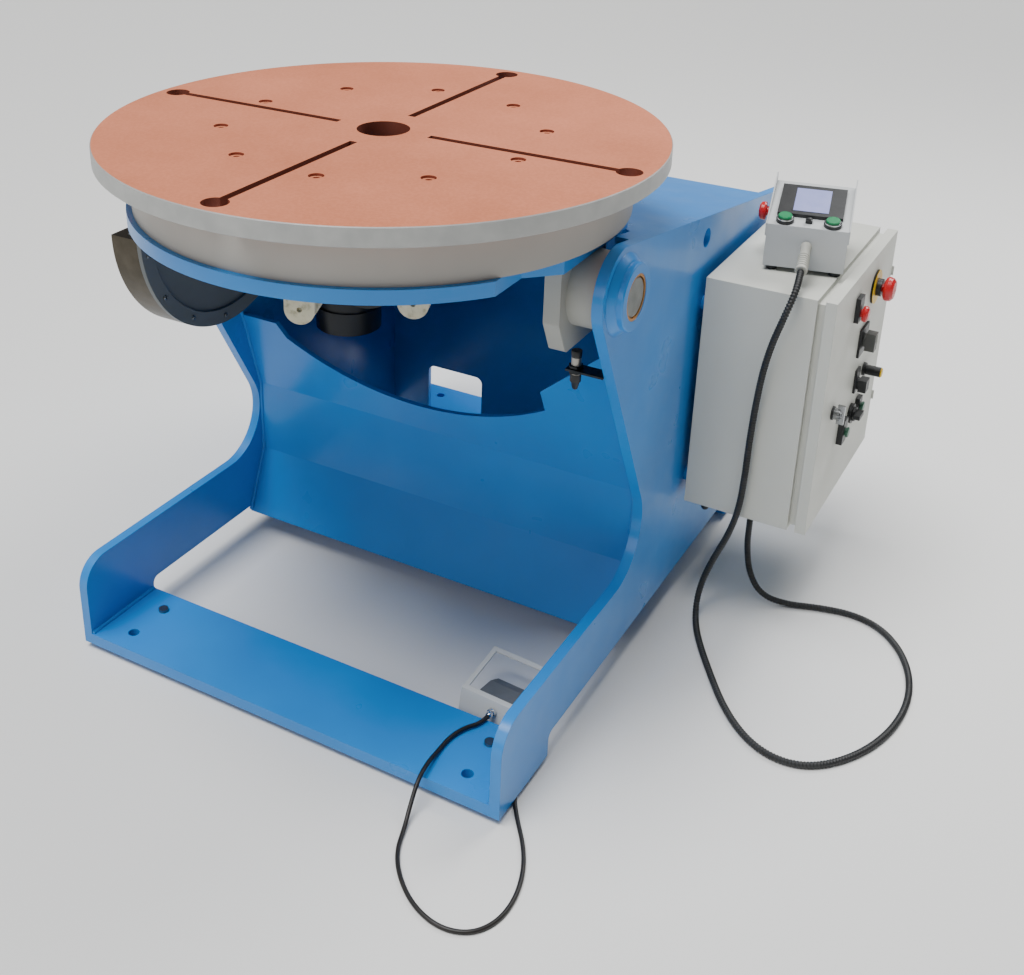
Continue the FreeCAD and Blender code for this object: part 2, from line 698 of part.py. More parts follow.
def tilt_pinion():
    module, teeth = num("gear_module"), int(num("pinion_teeth"))
    pitch_r = teeth * module / 2
    width = num("sector_width") + 6
    shaft_r = num("pinion_shaft_dia / 2")
    corners = involute_outline(teeth, module, pitch_r + module, pitch_r - 1.25 * module, 0.4,
                               180 - num("pinion_angle"))
    toothed = prism(corners, width)
    inner_end, outer_end = num("bracket_left + 2"), num("inner_x - 6")
    start = num("sector_offset - 3")
    shaft = Part.makeCylinder(shaft_r, outer_end - inner_end,
                              Vector(0, 0, start + width - outer_end))
    place = Placement(Vector(-(start + width), num("pinion_y"), num("pinion_z")), UPRIGHT)
    return feature("tilt_pinion", toothed.fuse(shaft).removeSplitter(), place)


def table_ring_gear():
    """Ring under the table, toothed inside, that turns in the slewing ring."""
    module, teeth = num("gear_module"), int(num("ring_teeth"))
    pitch_r = teeth * module / 2
    height = num("ring_height") - num("table_gap")
    blank = Part.makeCylinder(num("race_dia / 2 - 2 * running_gap"), height)
    corners = involute_outline(teeth, module, pitch_r + 1.25 * module, pitch_r - module, -0.4,
                               num("drive_angle") - 90)
    shape = blank.cut(prism(corners, height))
    place = Placement(Vector(0, num("axis_y"), num("ring_z + table_gap")), Rotation())
    return feature("table_ring_gear", shape, place)


def rotation_pinion():
    module, teeth = num("gear_module"), int(num("drive_teeth"))
    pitch_r = teeth * module / 2
    face = num("drive_face")
    corners = involute_outline(teeth, module, pitch_r + module, pitch_r - 1.25 * module, 0.4,
                               num("drive_angle") - 90)
    lift = num("table_gap") + 8
    shaft = Part.makeCylinder(num("pinion_shaft_dia / 2"), face + num("plate_thick") + lift,
                              Vector(0, 0, -num("plate_thick") - lift))
    shape = prism(corners, face).fuse(shaft).removeSplitter()
    angle = math.radians(num("drive_angle"))
    place = Placement(Vector(num("drive_reach") * math.sin(angle),
                             num("axis_y") - num("drive_reach") * math.cos(angle),
                             num("ring_z") + lift), Rotation())
    return feature("rotation_pinion", shape, place)


# ---- gear guard ------------------------------------------------------------------------

def arc_sheet(inner_r, outer_r, first, last, width):
    """Part of a ring between two angles, drawn in XY with its width along Z."""
    def spot(radius, angle):
        return Vector(radius * math.cos(math.radians(angle)),
                      radius * math.sin(math.radians(angle)), 0)
    middle = (first + last) / 2
    edges = [
        Part.Arc(spot(outer_r, first), spot(outer_r, middle), spot(outer_r, last)).toShape(),
        Part.LineSegment(spot(outer_r, last), spot(inner_r, last)).toShape(),
        Part.Arc(spot(inner_r, last), spot(inner_r, middle), spot(inner_r, first)).toShape(),
        Part.LineSegment(spot(inner_r, first), spot(outer_r, first)).toShape(),
    ]
    return Part.Face(Part.Wire(edges)).extrude(Vector(0, 0, width))


def guard_disc():
    """Side of the gear guard: a dished disc on the left hub with a raised rim."""
    radius, skin = num("guard_radius"), num("guard_skin")
    sweep, hub_r = num("guard_disc_sweep"), num("hub_dia / 2")
    disc = arc_sheet(hub_r, radius, 180, 180 + sweep, skin)
    rim = arc_sheet(radius - num("guard_rim"), radius, 180, 180 + sweep,
                    skin + num("guard_rim_thick"))
    collar = Part.makeCylinder(hub_r + 18, skin).cut(Part.makeCylinder(hub_r, skin))
    shape = disc.fuse([rim, collar]).cut(above_plate_line(radius / 2)).removeSplitter()
    place = Placement(Vector(-num("bracket_left + bracket_thick") - skin, num("axis_y"),
                             num("axis_height")), UPRIGHT)
    return feature("gear_guard_disc", shape, place)


def guard_band():
    """Stainless front of the gear guard: a rolled band with a flat cap across its top."""
    radius, skin, width = num("guard_radius"), num("guard_skin"), num("guard_width")
    band = arc_sheet(radius - skin, radius, 180, 180 + num("guard_sweep"), width)
    cap = Part.makeBox(num("cap_length"), skin, width, Vector(-radius, 0, 0))
    end = num("bracket_left + bracket_thick") + skin + width
    place = Placement(Vector(-end, num("axis_y"), num("axis_height")), UPRIGHT)
    return feature("gear_guard_band", band.fuse(cap).removeSplitter(), place)


# ---- drives ----------------------------------------------------------------------------

def tilt_drive():
    """Bracket under the roof, worm gearbox with its motor below, and the outboard bearing."""
    bracket = plate("drive_bracket_plate", "YZ_Plane", "-bracket_left + 2", "12", [[
        ("pinion_y - tilt_box / 2", "pinion_z - tilt_box / 2"),
        ("pinion_y + tilt_box / 2 + 40", "pinion_z - tilt_box / 2"),
        ("pinion_y + tilt_box / 2 + 110", "pinion_z - 20"),
        ("pinion_y + tilt_box / 2 + 110",
         roof_z("(pinion_y + tilt_box / 2 + 110)") + " - roof_drop"),
        ("axis_y + roof_opening + 2", roof_z("(axis_y + roof_opening + 2)") + " - roof_drop"),
        ("pinion_y - tilt_box / 2", "pinion_z + tilt_box_rise"),
    ]], [("pinion_y", "pinion_z", "pinion_shaft_dia / 2 + 6")])
    bearing = turned("pinion_bearing", [
        ("pinion_shaft_dia / 2 + running_gap", "0"), ("pinion_shaft_dia", "0"),
        ("pinion_shaft_dia", "6"), ("pinion_shaft_dia * 0.8", "18"),
        ("pinion_shaft_dia / 2 + running_gap", "18"),
    ], ("-inner_x", "pinion_y", "pinion_z"), "x")
    carrier = group("tilt_drive_bracket", [bracket, bearing])
    start = "-bracket_left + 14"
    casing = box("tilt_casing", ("tilt_box_depth", "tilt_box", "tilt_box / 2 + tilt_box_rise"),
                 (start, "pinion_y - tilt_box / 2", "pinion_z - tilt_box / 2"))
    flange = rod("tilt_flange", "tilt_motor_dia / 2 + 12", "14",
                 (start + " + tilt_box_depth / 2 + 12", "pinion_y + 10",
                  "pinion_z - tilt_box / 2"), "-z")
    gearbox = fused("tilt_gearbox", [casing, flange])
    top = "pinion_z - tilt_box / 2 - 14"
    shell = rod("tilt_motor_shell", "tilt_motor_dia / 2", "tilt_motor_length",
                (start + " + tilt_box_depth / 2 + 12", "pinion_y + 10", top), "-z")
    cover = rod("tilt_fan_cover", "tilt_motor_dia / 2 + 5", "50",
                (start + " + tilt_box_depth / 2 + 12", "pinion_y + 10",
                 top + " - tilt_motor_length + 50"), "-z")
    motor = fused("tilt_motor", [shell, cover])
    return [carrier, gearbox, motor]


def rotation_drive():
    """Cast gearbox bolted under the tilting plate, with lugs at its front, and its motor."""
    swing = num("drive_angle")
    body = new_body("rotation_gearbox")
    outline = rectangle("-swing_box_width / 2", "-swing_box_outer",
                        "swing_box_width / 2", "-swing_box_inner")
    pad(body, "swing_box_height", "XY_Plane", "-swing_box_height", [outline])
    round_edges(body, "XY_Plane", outline, "24")
    for side in ("left", "right"):
        middle, drop = side + "_lug", side + "_lug_drop"
        pad(body, "lug_reach - swing_box_outer + 30", "XZ_Plane", "swing_box_outer - 30",
            [rectangle(middle + " - lug_width / 2", "-%s + lug_width / 2" % drop,
                       middle + " + lug_width / 2", "-2")])
        pad(body, "lug_reach - swing_box_outer + 30", "XZ_Plane", "swing_box_outer - 30", (),
            [(middle, "-%s + lug_width / 2" % drop, "lug_width / 2")])
        pocket(body, "12", "XZ_Plane", "lug_reach", (),
               [(middle, "-%s + lug_width / 2" % drop, "lug_hole / 2")])
    bore_y = "-drive_reach"
    pocket(body, "24", "XY_Plane", "0", (), [("0", bore_y, "pinion_shaft_dia / 2 + 2")])
    body.Placement = Placement(Vector(0, num("axis_y"), num("plate_z")),
                               Rotation(Vector(0, 0, 1), swing))
    bind(body, "Placement.Base.y", "axis_y")
    bind(body, "Placement.Base.z", "plate_z")
    motor = new_body("rotation_motor")
    centre = ("0", "-swing_motor_dia / 2 - 13")
    pad(motor, "swing_motor_length", "XZ_Plane", "swing_box_inner - swing_motor_length", (),
        [centre + ("swing_motor_dia / 2",)])
    pad(motor, "46", "XZ_Plane", "swing_box_inner - swing_motor_length", (),
        [centre + ("swing_motor_dia / 2 + 5",)])
    motor.Placement = Placement(Vector(0, num("axis_y"), num("plate_z")),
                                Rotation(Vector(0, 0, 1), swing))
    bind(motor, "Placement.Base.y", "axis_y")
    bind(motor, "Placement.Base.z", "plate_z")
    return [body, motor]


def tilt_sensor():
    """Proximity switch under the right bracket, on a shelf from the side plate."""
    x = "bracket_right + bracket_thick - 4"
    face = "axis_height - sensor_swing"
    barrel = rod("sensor_barrel", "9", "52", (x, "axis_y", face + " - 52"))
    shelf = box("sensor_shelf", ("inner_x - (%s) + 14" % x, "30", "4"),
                (x + " - 14", "axis_y - 15", face + " - 36"))
    return fused("tilt_sensor", [barrel, shelf])


# ---- control enclosure -----------------------------------------------------------------

def enclosure():
    """Sheet-steel box open towards the door, with a raised lip round its mouth."""
    shell = box("box_shell", ("box_depth", "box_length", "box_height"),
                ("box_x", "box_front", "box_foot"))
    hollow = box("box_hollow", ("box_depth", "box_length - 2 * box_skin",
                                "box_height - 2 * box_skin"),
                 ("box_x + box_skin", "box_front + box_skin", "box_foot + box_skin"))
    walls = cut("box_walls", shell, [hollow])
    lip = box("lip_block", ("lip_proud + 12", "box_length - 2 * box_skin",
                            "box_height - 2 * box_skin"),
              ("box_face - 12", "box_front + box_skin", "box_foot + box_skin"))
    mouth = box("lip_mouth", ("lip_proud + 14", "box_length - 2 * lip_inset",
                              "box_height - 2 * lip_inset"),
                ("box_face - 13", "box_front + lip_inset", "box_foot + lip_inset"))
    outside = []
    for y, z, dy, dz in (
            ("box_front", "box_foot", "box_length", "lip_inset - 4"),
            ("box_front", "box_top - lip_inset + 4", "box_length", "lip_inset - 4"),
            ("box_front", "box_foot", "lip_inset - 4", "box_height"),
            ("box_rear - lip_inset + 4", "box_foot", "lip_inset - 4", "box_height")):
        outside.append(box("lip_outside", ("lip_proud + 1", dy, dz), ("box_face", y, z)))
    frame = cut("lip_frame", lip, [mouth] + outside)
    return fused("enclosure_box", [walls, frame])


def standoffs():
    spots = []
    for y in ("box_front + 40", "box_rear - 40"):
        for z in ("box_foot + 40", "box_top - 70"):
            spots.append(rod("standoff", "14", "box_gap", ("outer_x", y, z), "x"))
    return group("enclosure_standoffs", spots)


def door():
    """Dished door: a flat face with returned edges, and a hinge leaf at the top and bottom."""
    shell = box("door_shell", ("door_thick", "box_length", "box_height"),
                ("door_x", "box_front", "box_foot"))
    hollow = box("door_hollow", ("door_thick", "box_length - 2 * box_skin",
                                 "box_height - 2 * box_skin"),
                 ("door_x - box_skin", "box_front + box_skin", "box_foot + box_skin"))
    walls = cut("door_walls", shell, [hollow])
    pieces = [walls]
    for z in ("box_foot + 100", "box_top - 100"):
        pieces.append(box("door_leaf", ("24", "2", "20"), ("door_x + 1", "box_rear", z)))
        knuckle = rod("door_knuckle", "hinge_dia / 2", "20", ("door_x - 2", "hinge_y", z))
        neck = box("door_neck", ("5", "hinge_y - box_rear", "20"), ("door_x - 1", "box_rear", z))
        pin_hole = rod("door_pin_hole", "hinge_dia / 4", "22", ("door_x - 2", "hinge_y", z + " - 1"))
        pieces.append(cut("door_hinge_half", fused("door_hinge_solid", [knuckle, neck]), [pin_hole]))
    return fused("door_panel", pieces)


def hinges():
    """Fixed hinge halves on the box, each with its pin."""
    halves = []
    for z in ("box_foot + 79.5", "box_top - 120.5"):
        knuckle = rod("hinge_knuckle", "hinge_dia / 2", "20", ("door_x - 2", "hinge_y", z))
        pin = rod("hinge_pin", "hinge_dia / 4 - running_gap", "40", ("door_x - 2", "hinge_y", z))
        leaf = box("hinge_leaf", ("26", "2", "20"), ("box_face - 27", "box_rear", z))
        neck = box("hinge_neck", ("door_x - box_face + 1", "3", "20"),
                   ("box_face - 3", "box_rear", z))
        halves.append(fused("hinge_half", [knuckle, pin, leaf, neck]))
    return group("door_hinges", halves)


def inside_of_box():
    """Mounting panel on the rear wall of the box, and the devices that it carries."""
    panel = box("mounting_panel", ("3", "box_length - 60", "box_height - 60"),
                ("box_x + box_skin + 10", "box_front + 30", "box_foot + 30"))
    pegs = []
    for y in ("box_front + 45", "box_rear - 45"):
        for z in ("box_foot + 45", "box_top - 45"):
            pegs.append(rod("panel_peg", "5", "10", ("box_x + box_skin", y, z), "x"))
    face = "box_x + box_skin + 13"
    devices = []
    layout = [(60, 250, 110, 170, 110), (190, 250, 90, 170, 100), (300, 250, 100, 80, 80),
              (300, 350, 100, 70, 80), (60, 60, 340, 42, 45), (60, 150, 70, 80, 70),
              (150, 150, 200, 80, 65)]
    for y, z, length, height, depth in layout:
        devices.append(box("device", (str(depth), str(length), str(height)),
                           (face, "box_front + %d" % y, "box_foot + %d" % z)))
    return [fused("mounting_panel_set", [panel] + pegs), group("panel_devices", devices)]


# Operating devices on the door: name, distance from the box front, height above its foot.
DEVICES = {
    "door_stop_button": (309, 420), "red_button": (170, 415), "main_switch": (260, 322),
    "speed_knob": (320, 231), "square_selector": (260, 224), "upper_green_button": (305, 153),
    "lever_selector": (250, 159), "lower_green_button": (175, 153), "door_lock": (86, 233),
}


def spot_on_door(name, proud="0"):
    along, up = DEVICES[name]
    return ("door_face + " + proud, "box_front + %g" % along, "box_foot + %g" % up)


def device_bases():
    """Collars and legend plates that stay on the door, each bored for its stem."""
    pieces = []
    collars = {
        "door_stop_button": [("35", "0", "2"), ("18", "2", "13")],
        "speed_knob": [("14", "0", "6")], "lever_selector": [("21", "0", "8")],
        "door_lock": [("14", "0", "4")],
    }
    for name, rings in collars.items():
        solids = [rod(name + "_ring", radius, depth, spot_on_door(name, start), "x")
                  for radius, start, depth in rings]
        whole = solids[0] if len(solids) == 1 else fused(name + "_collar", solids)
        hole = rod(name + "_hole", "8", "60", spot_on_door(name, "-1"), "x")
        pieces.append(cut(name + "_base", whole, [hole]))
    for name, deep, half, up, down in (
            ("main_switch", 5, 30, 30, 30), ("square_selector", 5, 15, 32, 18),
            ("red_button", 9, 16, 34, 17), ("upper_green_button", 9, 13, 20, 20),
            ("lower_green_button", 12, 15, 28, 25)):
        x, y, z = spot_on_door(name)
        slab = box(name + "_slab", (str(deep), str(2 * half), str(up + down)),
                   (x, y + " - %d" % half, z + " - %d" % down))
        hole = rod(name + "_hole", "8", "60", spot_on_door(name, "-1"), "x")
        pieces.append(cut(name + "_base", slab, [hole]))
    return group("door_device_bases", pieces)


def push_button(name, stem_start, cap_start, profile):
    """A push button: a stem that runs in its collar under a cap of turned outline."""
    corners = [("0", stem_start), ("7.95", stem_start), ("7.95", cap_start)] + profile
    return turned(name, corners, spot_on_door(name), "x")


def knob(name, start, length, radius, grip):
    """A turning knob: round stem and skirt, and a grip block across it."""
    x, y, z = spot_on_door(name, start)
    stem = rod(name + "_stem", "7.95", start + " - 1", spot_on_door(name, "1"), "x")
    skirt = rod(name + "_skirt", radius, length, (x, y, z), "x")
    wide, tall, deep = grip
    block = box(name + "_grip", (str(deep), str(wide), str(tall)),
                (x + " + " + length, y + " - %g" % (wide / 2), z + " - %g" % (tall / 2)))
    return fused(name, [stem, skirt, block])


def flush_cap(start):
    """Outline of a low round cap whose underside stands at the given height."""
    return [("10.5", "%g" % start), ("10.5", "%g" % (start + 3)), ("9", "%g" % (start + 4.5)),
            ("0", "%g" % (start + 5))]


def door_controls():
    mushroom = [("17", "19"), ("23", "21.5"), ("25", "27"), ("23.5", "34"), ("18", "39"),
                ("0", "41.5")]
    small = [("15", "13"), ("16", "17"), ("15", "21"), ("10", "24"), ("0", "24.5")]
    ring = [("9", "4.5"), ("12", "4.5"), ("12", "16"), ("9", "16")]
    lock_x, lock_y, lock_z = spot_on_door("door_lock")
    wing = box("lock_wing", ("14", "6", "40"), (lock_x + " + 10", lock_y + " - 3", lock_z + " - 20"))
    barrel = rod("lock_barrel", "7.95", "18", spot_on_door("door_lock", "1"), "x")
    lock_ring = turned("lock_ring", ring, spot_on_door("door_lock"), "x")
    return [
        push_button("door_stop_button", "6", "19", mushroom),
        push_button("red_button", "3.5", "13", small),
        push_button("upper_green_button", "3.5", "12", flush_cap(12)),
        push_button("lower_green_button", "3.5", "15", flush_cap(15)),
        knob("main_switch", "5.5", "4", "14", (22, 38, 19)),
        knob("speed_knob", "6.5", "30", "10.5", (3, 8, 1)),
        knob("square_selector", "5.5", "4", "13", (26, 26, 16)),
        knob("lever_selector", "8.5", "5", "15", (34, 9, 12)),
        fused("door_lock", [wing, barrel, lock_ring]),
    ]


# ---- cable entries ---------------------------------------------------------------------

CONDUIT_GLAND = (600, 195)
CORD_GLAND = (169, 325)


def glands():
    """Two glands under the box and one inside the frame, through the side plate."""
    def gland(name, radius, at, axis, length):
        profile = [
            ("0", "0"), ("%g" % (radius * 1.9), "0"), ("%g" % (radius * 1.9), "9"),
            ("%g" % (radius * 1.6), "9"), ("%g" % (radius * 1.6), "%g" % (length - 4)),
            ("%g" % (radius * 1.25), "%g" % length), ("0", "%g" % length),
        ]
        return turned(name, profile, at, axis)
    return group("cable_glands", [
        gland("conduit_gland", 7, ("%g" % CONDUIT_GLAND[0], "%g" % CONDUIT_GLAND[1], "box_foot"),
              "-z", 26),
        gland("spare_gland", 5, ("box_x + 38", "box_front + 22", "box_foot"), "-z", 18),
        gland("cord_gland", 4, ("inner_x", "%g" % CORD_GLAND[0], "%g" % CORD_GLAND[1]), "-x", 27),
    ])


# ---- hand pendant ----------------------------------------------------------------------

STEM = 6.95

def on_pendant(across, deep, up, lean=0.0):
    """A place in the pendant's own frame: across its front, into its depth, up from its base."""
    turn = Rotation(Vector(0, 0, 1), num("pendant_turn"))
    origin = Vector(num("pendant_x"), num("pendant_y"), num("box_top + pendant_foot"))
    spot = origin + turn.multVec(Vector(num(across), num(deep), num(up)))
    return Placement(spot, turn * Rotation(Vector(1, 0, 0), lean))


def pendant_top(deep):
    return "pendant_front + (%s) * tan(pendant_slope)" % deep


STOP_SPOT = ("-cheek_thick", "pendant_depth / 2", "pendant_front - 4")
LEFT_SPOT = ("31", "17", pendant_top("17"))
RIGHT_SPOT = ("pendant_width - 31", "17", pendant_top("17"))


def spot_on_pendant(spot, axis):
    """A control's seat: on the sloping top, or square to the left cheek."""
    if axis == "z":
        return on_pendant(*spot, num("pendant_slope"))
    base = on_pendant(*spot)
    return Placement(base.Base, base.Rotation * TURN["-x"])


def pendant_hole(name, spot, axis):
    hole = doc.addObject("Part::Cylinder", name)
    hole.Radius = STEM + num("running_gap")
    hole.Height = 30
    hole.Placement = spot_on_pendant(spot, axis).multiply(
        Placement(Vector(0, 0, -15), Rotation()))
    return hole


def pendant_prism(name, outline, start, width):
    body = new_body(name)
    pad(body, width, "YZ_Plane", start, [outline])
    body.Placement = on_pendant("0", "0", "0")
    return body


def pendant():
    slope = num("pendant_slope")
    block = pendant_prism("pendant_block", [
        ("0", "0"), ("pendant_depth", "0"), ("pendant_depth", pendant_top("pendant_depth")),
        ("0", "pendant_front")], "0", "pendant_width")
    stop_hole = pendant_hole("stop_hole", STOP_SPOT, "-x")
    housing = cut("pendant_housing", block, [
        stop_hole, pendant_hole("left_hole", LEFT_SPOT, "z"),
        pendant_hole("right_hole", RIGHT_SPOT, "z")])
    cheek = [("0", "pendant_front - 24"), ("pendant_depth", "pendant_front - 24"),
             ("pendant_depth", "cheek_apex"), ("0", "pendant_front + 1")]
    left_cheek = pendant_prism("cheek_left", cheek, "-cheek_thick", "cheek_thick")
    cheeks = group("pendant_cheeks", [
        cut("cheek_left_bored", left_cheek, [stop_hole]),
        pendant_prism("cheek_right", cheek, "pendant_width", "cheek_thick")])
    rise = "7 / cos(pendant_slope)"
    front, rear = "34", "pendant_depth - 24"
    bezel = pendant_prism("pendant_bezel", [
        (front, pendant_top(front)), (rear, pendant_top(rear)),
        (rear, pendant_top(rear) + " + " + rise), (front, pendant_top(front) + " + " + rise)],
        "14", "pendant_width - 28")
    screen = doc.addObject("Part::Box", "pendant_screen")
    bind(screen, "Length", "pendant_width - 84")
    bind(screen, "Width", "pendant_depth - 82")
    bind(screen, "Height", "0.8")
    screen.Placement = on_pendant("42", "46", pendant_top("46") + " + " + rise, slope)
    feet = []
    for across in ("16", "pendant_width - 16"):
        for deep in ("18", "pendant_depth - 18"):
            foot = doc.addObject("Part::Cylinder", "pendant_foot")
            bind(foot, "Radius", "11")
            bind(foot, "Height", "pendant_foot")
            foot.Placement = on_pendant(across, deep, "-pendant_foot")
            feet.append(foot)
    return [housing, cheeks, bezel, screen, group("pendant_feet", feet)]


def pendant_controls():
    """Two green buttons on the sloping top and a red stop button on the left cheek."""
    cap = [("13", "2.5"), ("13", "12.5"), ("12", "13.5"), ("0", "13.5")]
    mushroom = [("9", "2.5"), ("9", "6"), ("17", "7.5"), ("18", "11"), ("17", "17"),
                ("12", "20.5"), ("0", "22")]
    pieces = []
    for name, spot, axis, head in (("pendant_left_button", LEFT_SPOT, "z", cap),
                                   ("pendant_right_button", RIGHT_SPOT, "z", cap),
                                   ("pendant_stop_button", STOP_SPOT, "-x", mushroom)):
        stem = [("0", "-8"), ("%g" % STEM, "-8"), ("%g" % STEM, "2.5")]
        button = revolved(name, stem + head)
        button.Placement = spot_on_pendant(spot, axis)
        pieces.append(button)
    return pieces


def strain_relief():
    """Ribbed, tapering sleeve from the pendant's front, drooping over the box edge."""
    start, end = relief_ends()
    along = end.sub(start)
    length = along.Length
    sleeve = Part.makeCone(num("conduit_dia") * 0.86, num("conduit_dia") * 0.66, length)
    ribs = []
    for k in range(7):
        at = length * (0.18 + 0.12 * k)
        radius = num("conduit_dia") * (0.86 - 0.2 * at / length) + 1.2
        ribs.append(Part.makeCylinder(radius, 2.6, Vector(0, 0, at)))
    shape = sleeve.fuse(ribs).removeSplitter()
    place = Placement(start, Rotation(Vector(0, 0, 1), along))
    root = Part.makeCylinder(num("conduit_dia") * 0.95, 6, Vector(0, 0, 0))
    shape.Placement = place
    square = on_pendant("pendant_width / 2 + 2", "0", "pendant_front * 0.58")
    root.Placement = Placement(square.Base, square.Rotation * Rotation(Vector(1, 0, 0), 90))
    housing = doc.getObject("pendant_housing").Shape
    return feature("pendant_strain_relief", shape.fuse(root).cut(housing).removeSplitter())


def relief_ends():
    start = on_pendant("pendant_width / 2 + 2", "-1", "pendant_front * 0.58").Base
    return start, Vector(*[float(value) for value in CONDUIT_POINTS[0]])


# ---- foot pedal ------------------------------------------------------------------------

def on_pedal(across, deep, up):
    turn = Rotation(Vector(0, 0, 1), -num("pedal_turn"))
    origin = Vector(num("pedal_x"), num("pedal_y"), -num("jack_drop"))
    return Placement(origin + turn.multVec(Vector(num(across), num(deep), num(up))), turn)


def foot_pedal():
    """Sheet base with a raised front flange, a flat hoop above it and a hinged treadle."""
    body = new_body("pedal_base")
    profile = [
        ("0", "0"), ("pedal_depth", "0"), ("pedal_depth", "pedal_skin"),
        ("pedal_skin + 2", "pedal_skin"), ("14 + pedal_skin", "flange_height - 2"),
        ("pedal_depth", "flange_height + hoop_rise - pedal_skin"),
        ("pedal_depth", "flange_height + hoop_rise"), ("14", "flange_height"),
    ]
    pad(body, "pedal_width", "YZ_Plane", "0", [profile])
    window = rectangle("hoop_bar", "24", "pedal_width - hoop_bar", "pedal_depth - hoop_bar")
    pocket_top = sketch_on(body, "XY_Plane", "flange_height / 2", [window])
    opening = body.newObject("PartDesign::Pocket", "hoop_window")
    opening.Profile = pocket_top
    opening.Reversed = True
    bind(opening, "Length", "2 * flange_height")
    doc.recompute()
    lugs = []
    body.Placement = on_pedal("0", "0", "0")
    ear_profile = [("88", "pedal_skin"), ("112", "pedal_skin"), ("106", "26"), ("94", "26")]
    for name, start in (("left_ear", "16"), ("right_ear", "pedal_width - 19")):
        ear = plate(name, "YZ_Plane", start, "pedal_skin", [ear_profile],
                    [("100", "18", "3.05")])
        ear.Placement = on_pedal("0", "0", "0")
        lugs.append(ear)
    base = fused("pedal_base_set", [body] + lugs)
    treadle = new_body("pedal_treadle_shell")
    pad(treadle, "pedal_width - 40", "YZ_Plane", "20", [[
        ("112", "12"), ("112", "24"), ("84", "38"), ("48", "42"), ("26", "34"), ("26", "30"),
        ("48", "36"), ("82", "32"), ("92", "12")]])
    round_edges(treadle, "YZ_Plane", [("48", "42"), ("84", "38")], "6")
    treadle.Placement = on_pedal("0", "0", "0")
    pin = new_body("pedal_pin")
    pad(pin, "pedal_width - 32.6", "YZ_Plane", "16.3", (), [("100", "18", "3")])
    pin.Placement = on_pedal("0", "0", "0")
    tread = fused("pedal_treadle", [treadle, pin])
    gland = revolved("pedal_gland", [
        ("0", "0"), ("8", "0"), ("8", "6"), ("6.5", "6"), ("6.5", "14"), ("5", "17"),
        ("0", "17")])
    spot = on_pedal("72", "7.2", "42")
    gland.Placement = Placement(spot.Base, spot.Rotation * TURN["-y"])
    housing = cut("pedal_gland_fit", gland, [doc.getObject("pedal_base_set")])
    return [base, tread, housing]


# ---- cords -----------------------------------------------------------------------------

# Route of the pedal's cord: out of its gland, over the front foot plate, one loose loop on the
# floor, back under the right foot and along inside the frame to the gland in the side plate.
PEDAL_CORD_POINTS = [
    (343.1, -465.1, 30), (341.5, -488, 30.6), (323, -512, 31), (311, -547, 29.5),
    (311, -590, 29.5),
    (315, -630, 38), (321, -672, 37), (326, -706, 10), (336, -742, -7.9), (351, -791, -7.9),
    (383, -834, -7.9), (432, -872, -7.9), (487, -888, -7.9), (534, -874, -7.9),
    (560, -834, -7.9), (564, -780, -7.9), (550, -722, -7.9), (524, -672, -7.9),
    (490, -628, -7.9), (458, -580, -7.9), (438, -524, -7.9), (431, -464, -7.9),
    (429, -394, -7.9), (427, -310, -7.9), (423, -220, -7.9), (419, -120, -7.9),
    (414, -20, -7.9), (408, 60, -7.9), (398, 112, 8), (384, 146, 54), (374, 162, 120),
    (370, 168, 190), (370, 169, 245), (371, 169, 286), (381, 169, 312), (399, 169, 325),
    (420.4, 169, 325),
]

# Route of the pendant's conduit: over the edge of the box, down to the floor, one wide loop,
# and up to the gland under the box.
CONDUIT_POINTS = [
    (648, 151, 760), (656.2, 107.8, 746.4), (656, 87.5, 729.5), (651, 76, 706), (644, 75, 680),
    (629, 82, 630), (617, 88, 566), (610, 93, 490), (606, 96, 410), (605, 97, 330), (601, 97, 255),
    (586, 97, 190), (562, 97, 128), (545, 94, 72), (541, 78, 24), (556, 40, -4.9),
    (588, -20, -4.9), (640, -100, -4.9), (686, -166, -4.9), (734, -218, -4.9),
    (780, -249, -4.9), (826, -260, -4.9), (872, -250, -4.9), (916, -212, -4.9),
    (956, -148, -4.9), (982, -66, -4.9), (988, 22, -4.9), (972, 104, -4.9),
    (936, 176, -4.9), (884, 228, -4.9), (822, 244, -4.9), (756, 230, -4.9),
    (694, 206, -4.9), (644, 192, 8), (614, 190, 52), (601, 194, 112), (600, 195, 160),
    (600, 195, 204.9),
]


def cord(name, points, diameter):
    """A tube along straight runs joined by arcs as large as the runs beside them allow."""
    spots = [Vector(*point) for point in points]
    edges = []
    here = spots[0]
    radii = []
    for before, corner, after in zip(spots, spots[1:], spots[2:]):
        run_in, run_out = corner.sub(before), after.sub(corner)
        turn = run_in.getAngle(run_out)
        tangent = 0.45 * min(run_in.Length, run_out.Length)
        radii.append(tangent / math.tan(turn / 2))
        start = corner.sub(Vector(run_in).normalize().multiply(tangent))
        end = corner.add(Vector(run_out).normalize().multiply(tangent))
        inward = Vector(run_out).normalize().sub(Vector(run_in).normalize()).normalize()
        sagitta = radii[-1] * (1 / math.cos(turn / 2) - 1)
        edges.append(Part.LineSegment(here, start).toShape())
        edges.append(Part.Arc(start, corner.add(inward.multiply(sagitta)), end).toShape())
        here = end
    edges.append(Part.LineSegment(here, spots[-1]).toShape())
    path = Part.Wire(edges)
    ring = Part.Circle(spots[0], spots[1].sub(spots[0]), diameter / 2).toShape()
    tube = path.makePipeShell([Part.Wire(ring)], True, False)
    expected = math.pi * diameter ** 2 / 4 * path.Length
    print("%s: length %.0f mm, volume ratio %.4f, smallest radius %.0f mm"
          % (name, path.Length, tube.Volume / expected, min(radii)))
    print("  radii:", " ".join("%.0f" % radius for radius in radii))
    return feature(name, tube)


# ---- assembly --------------------------------------------------------------------------

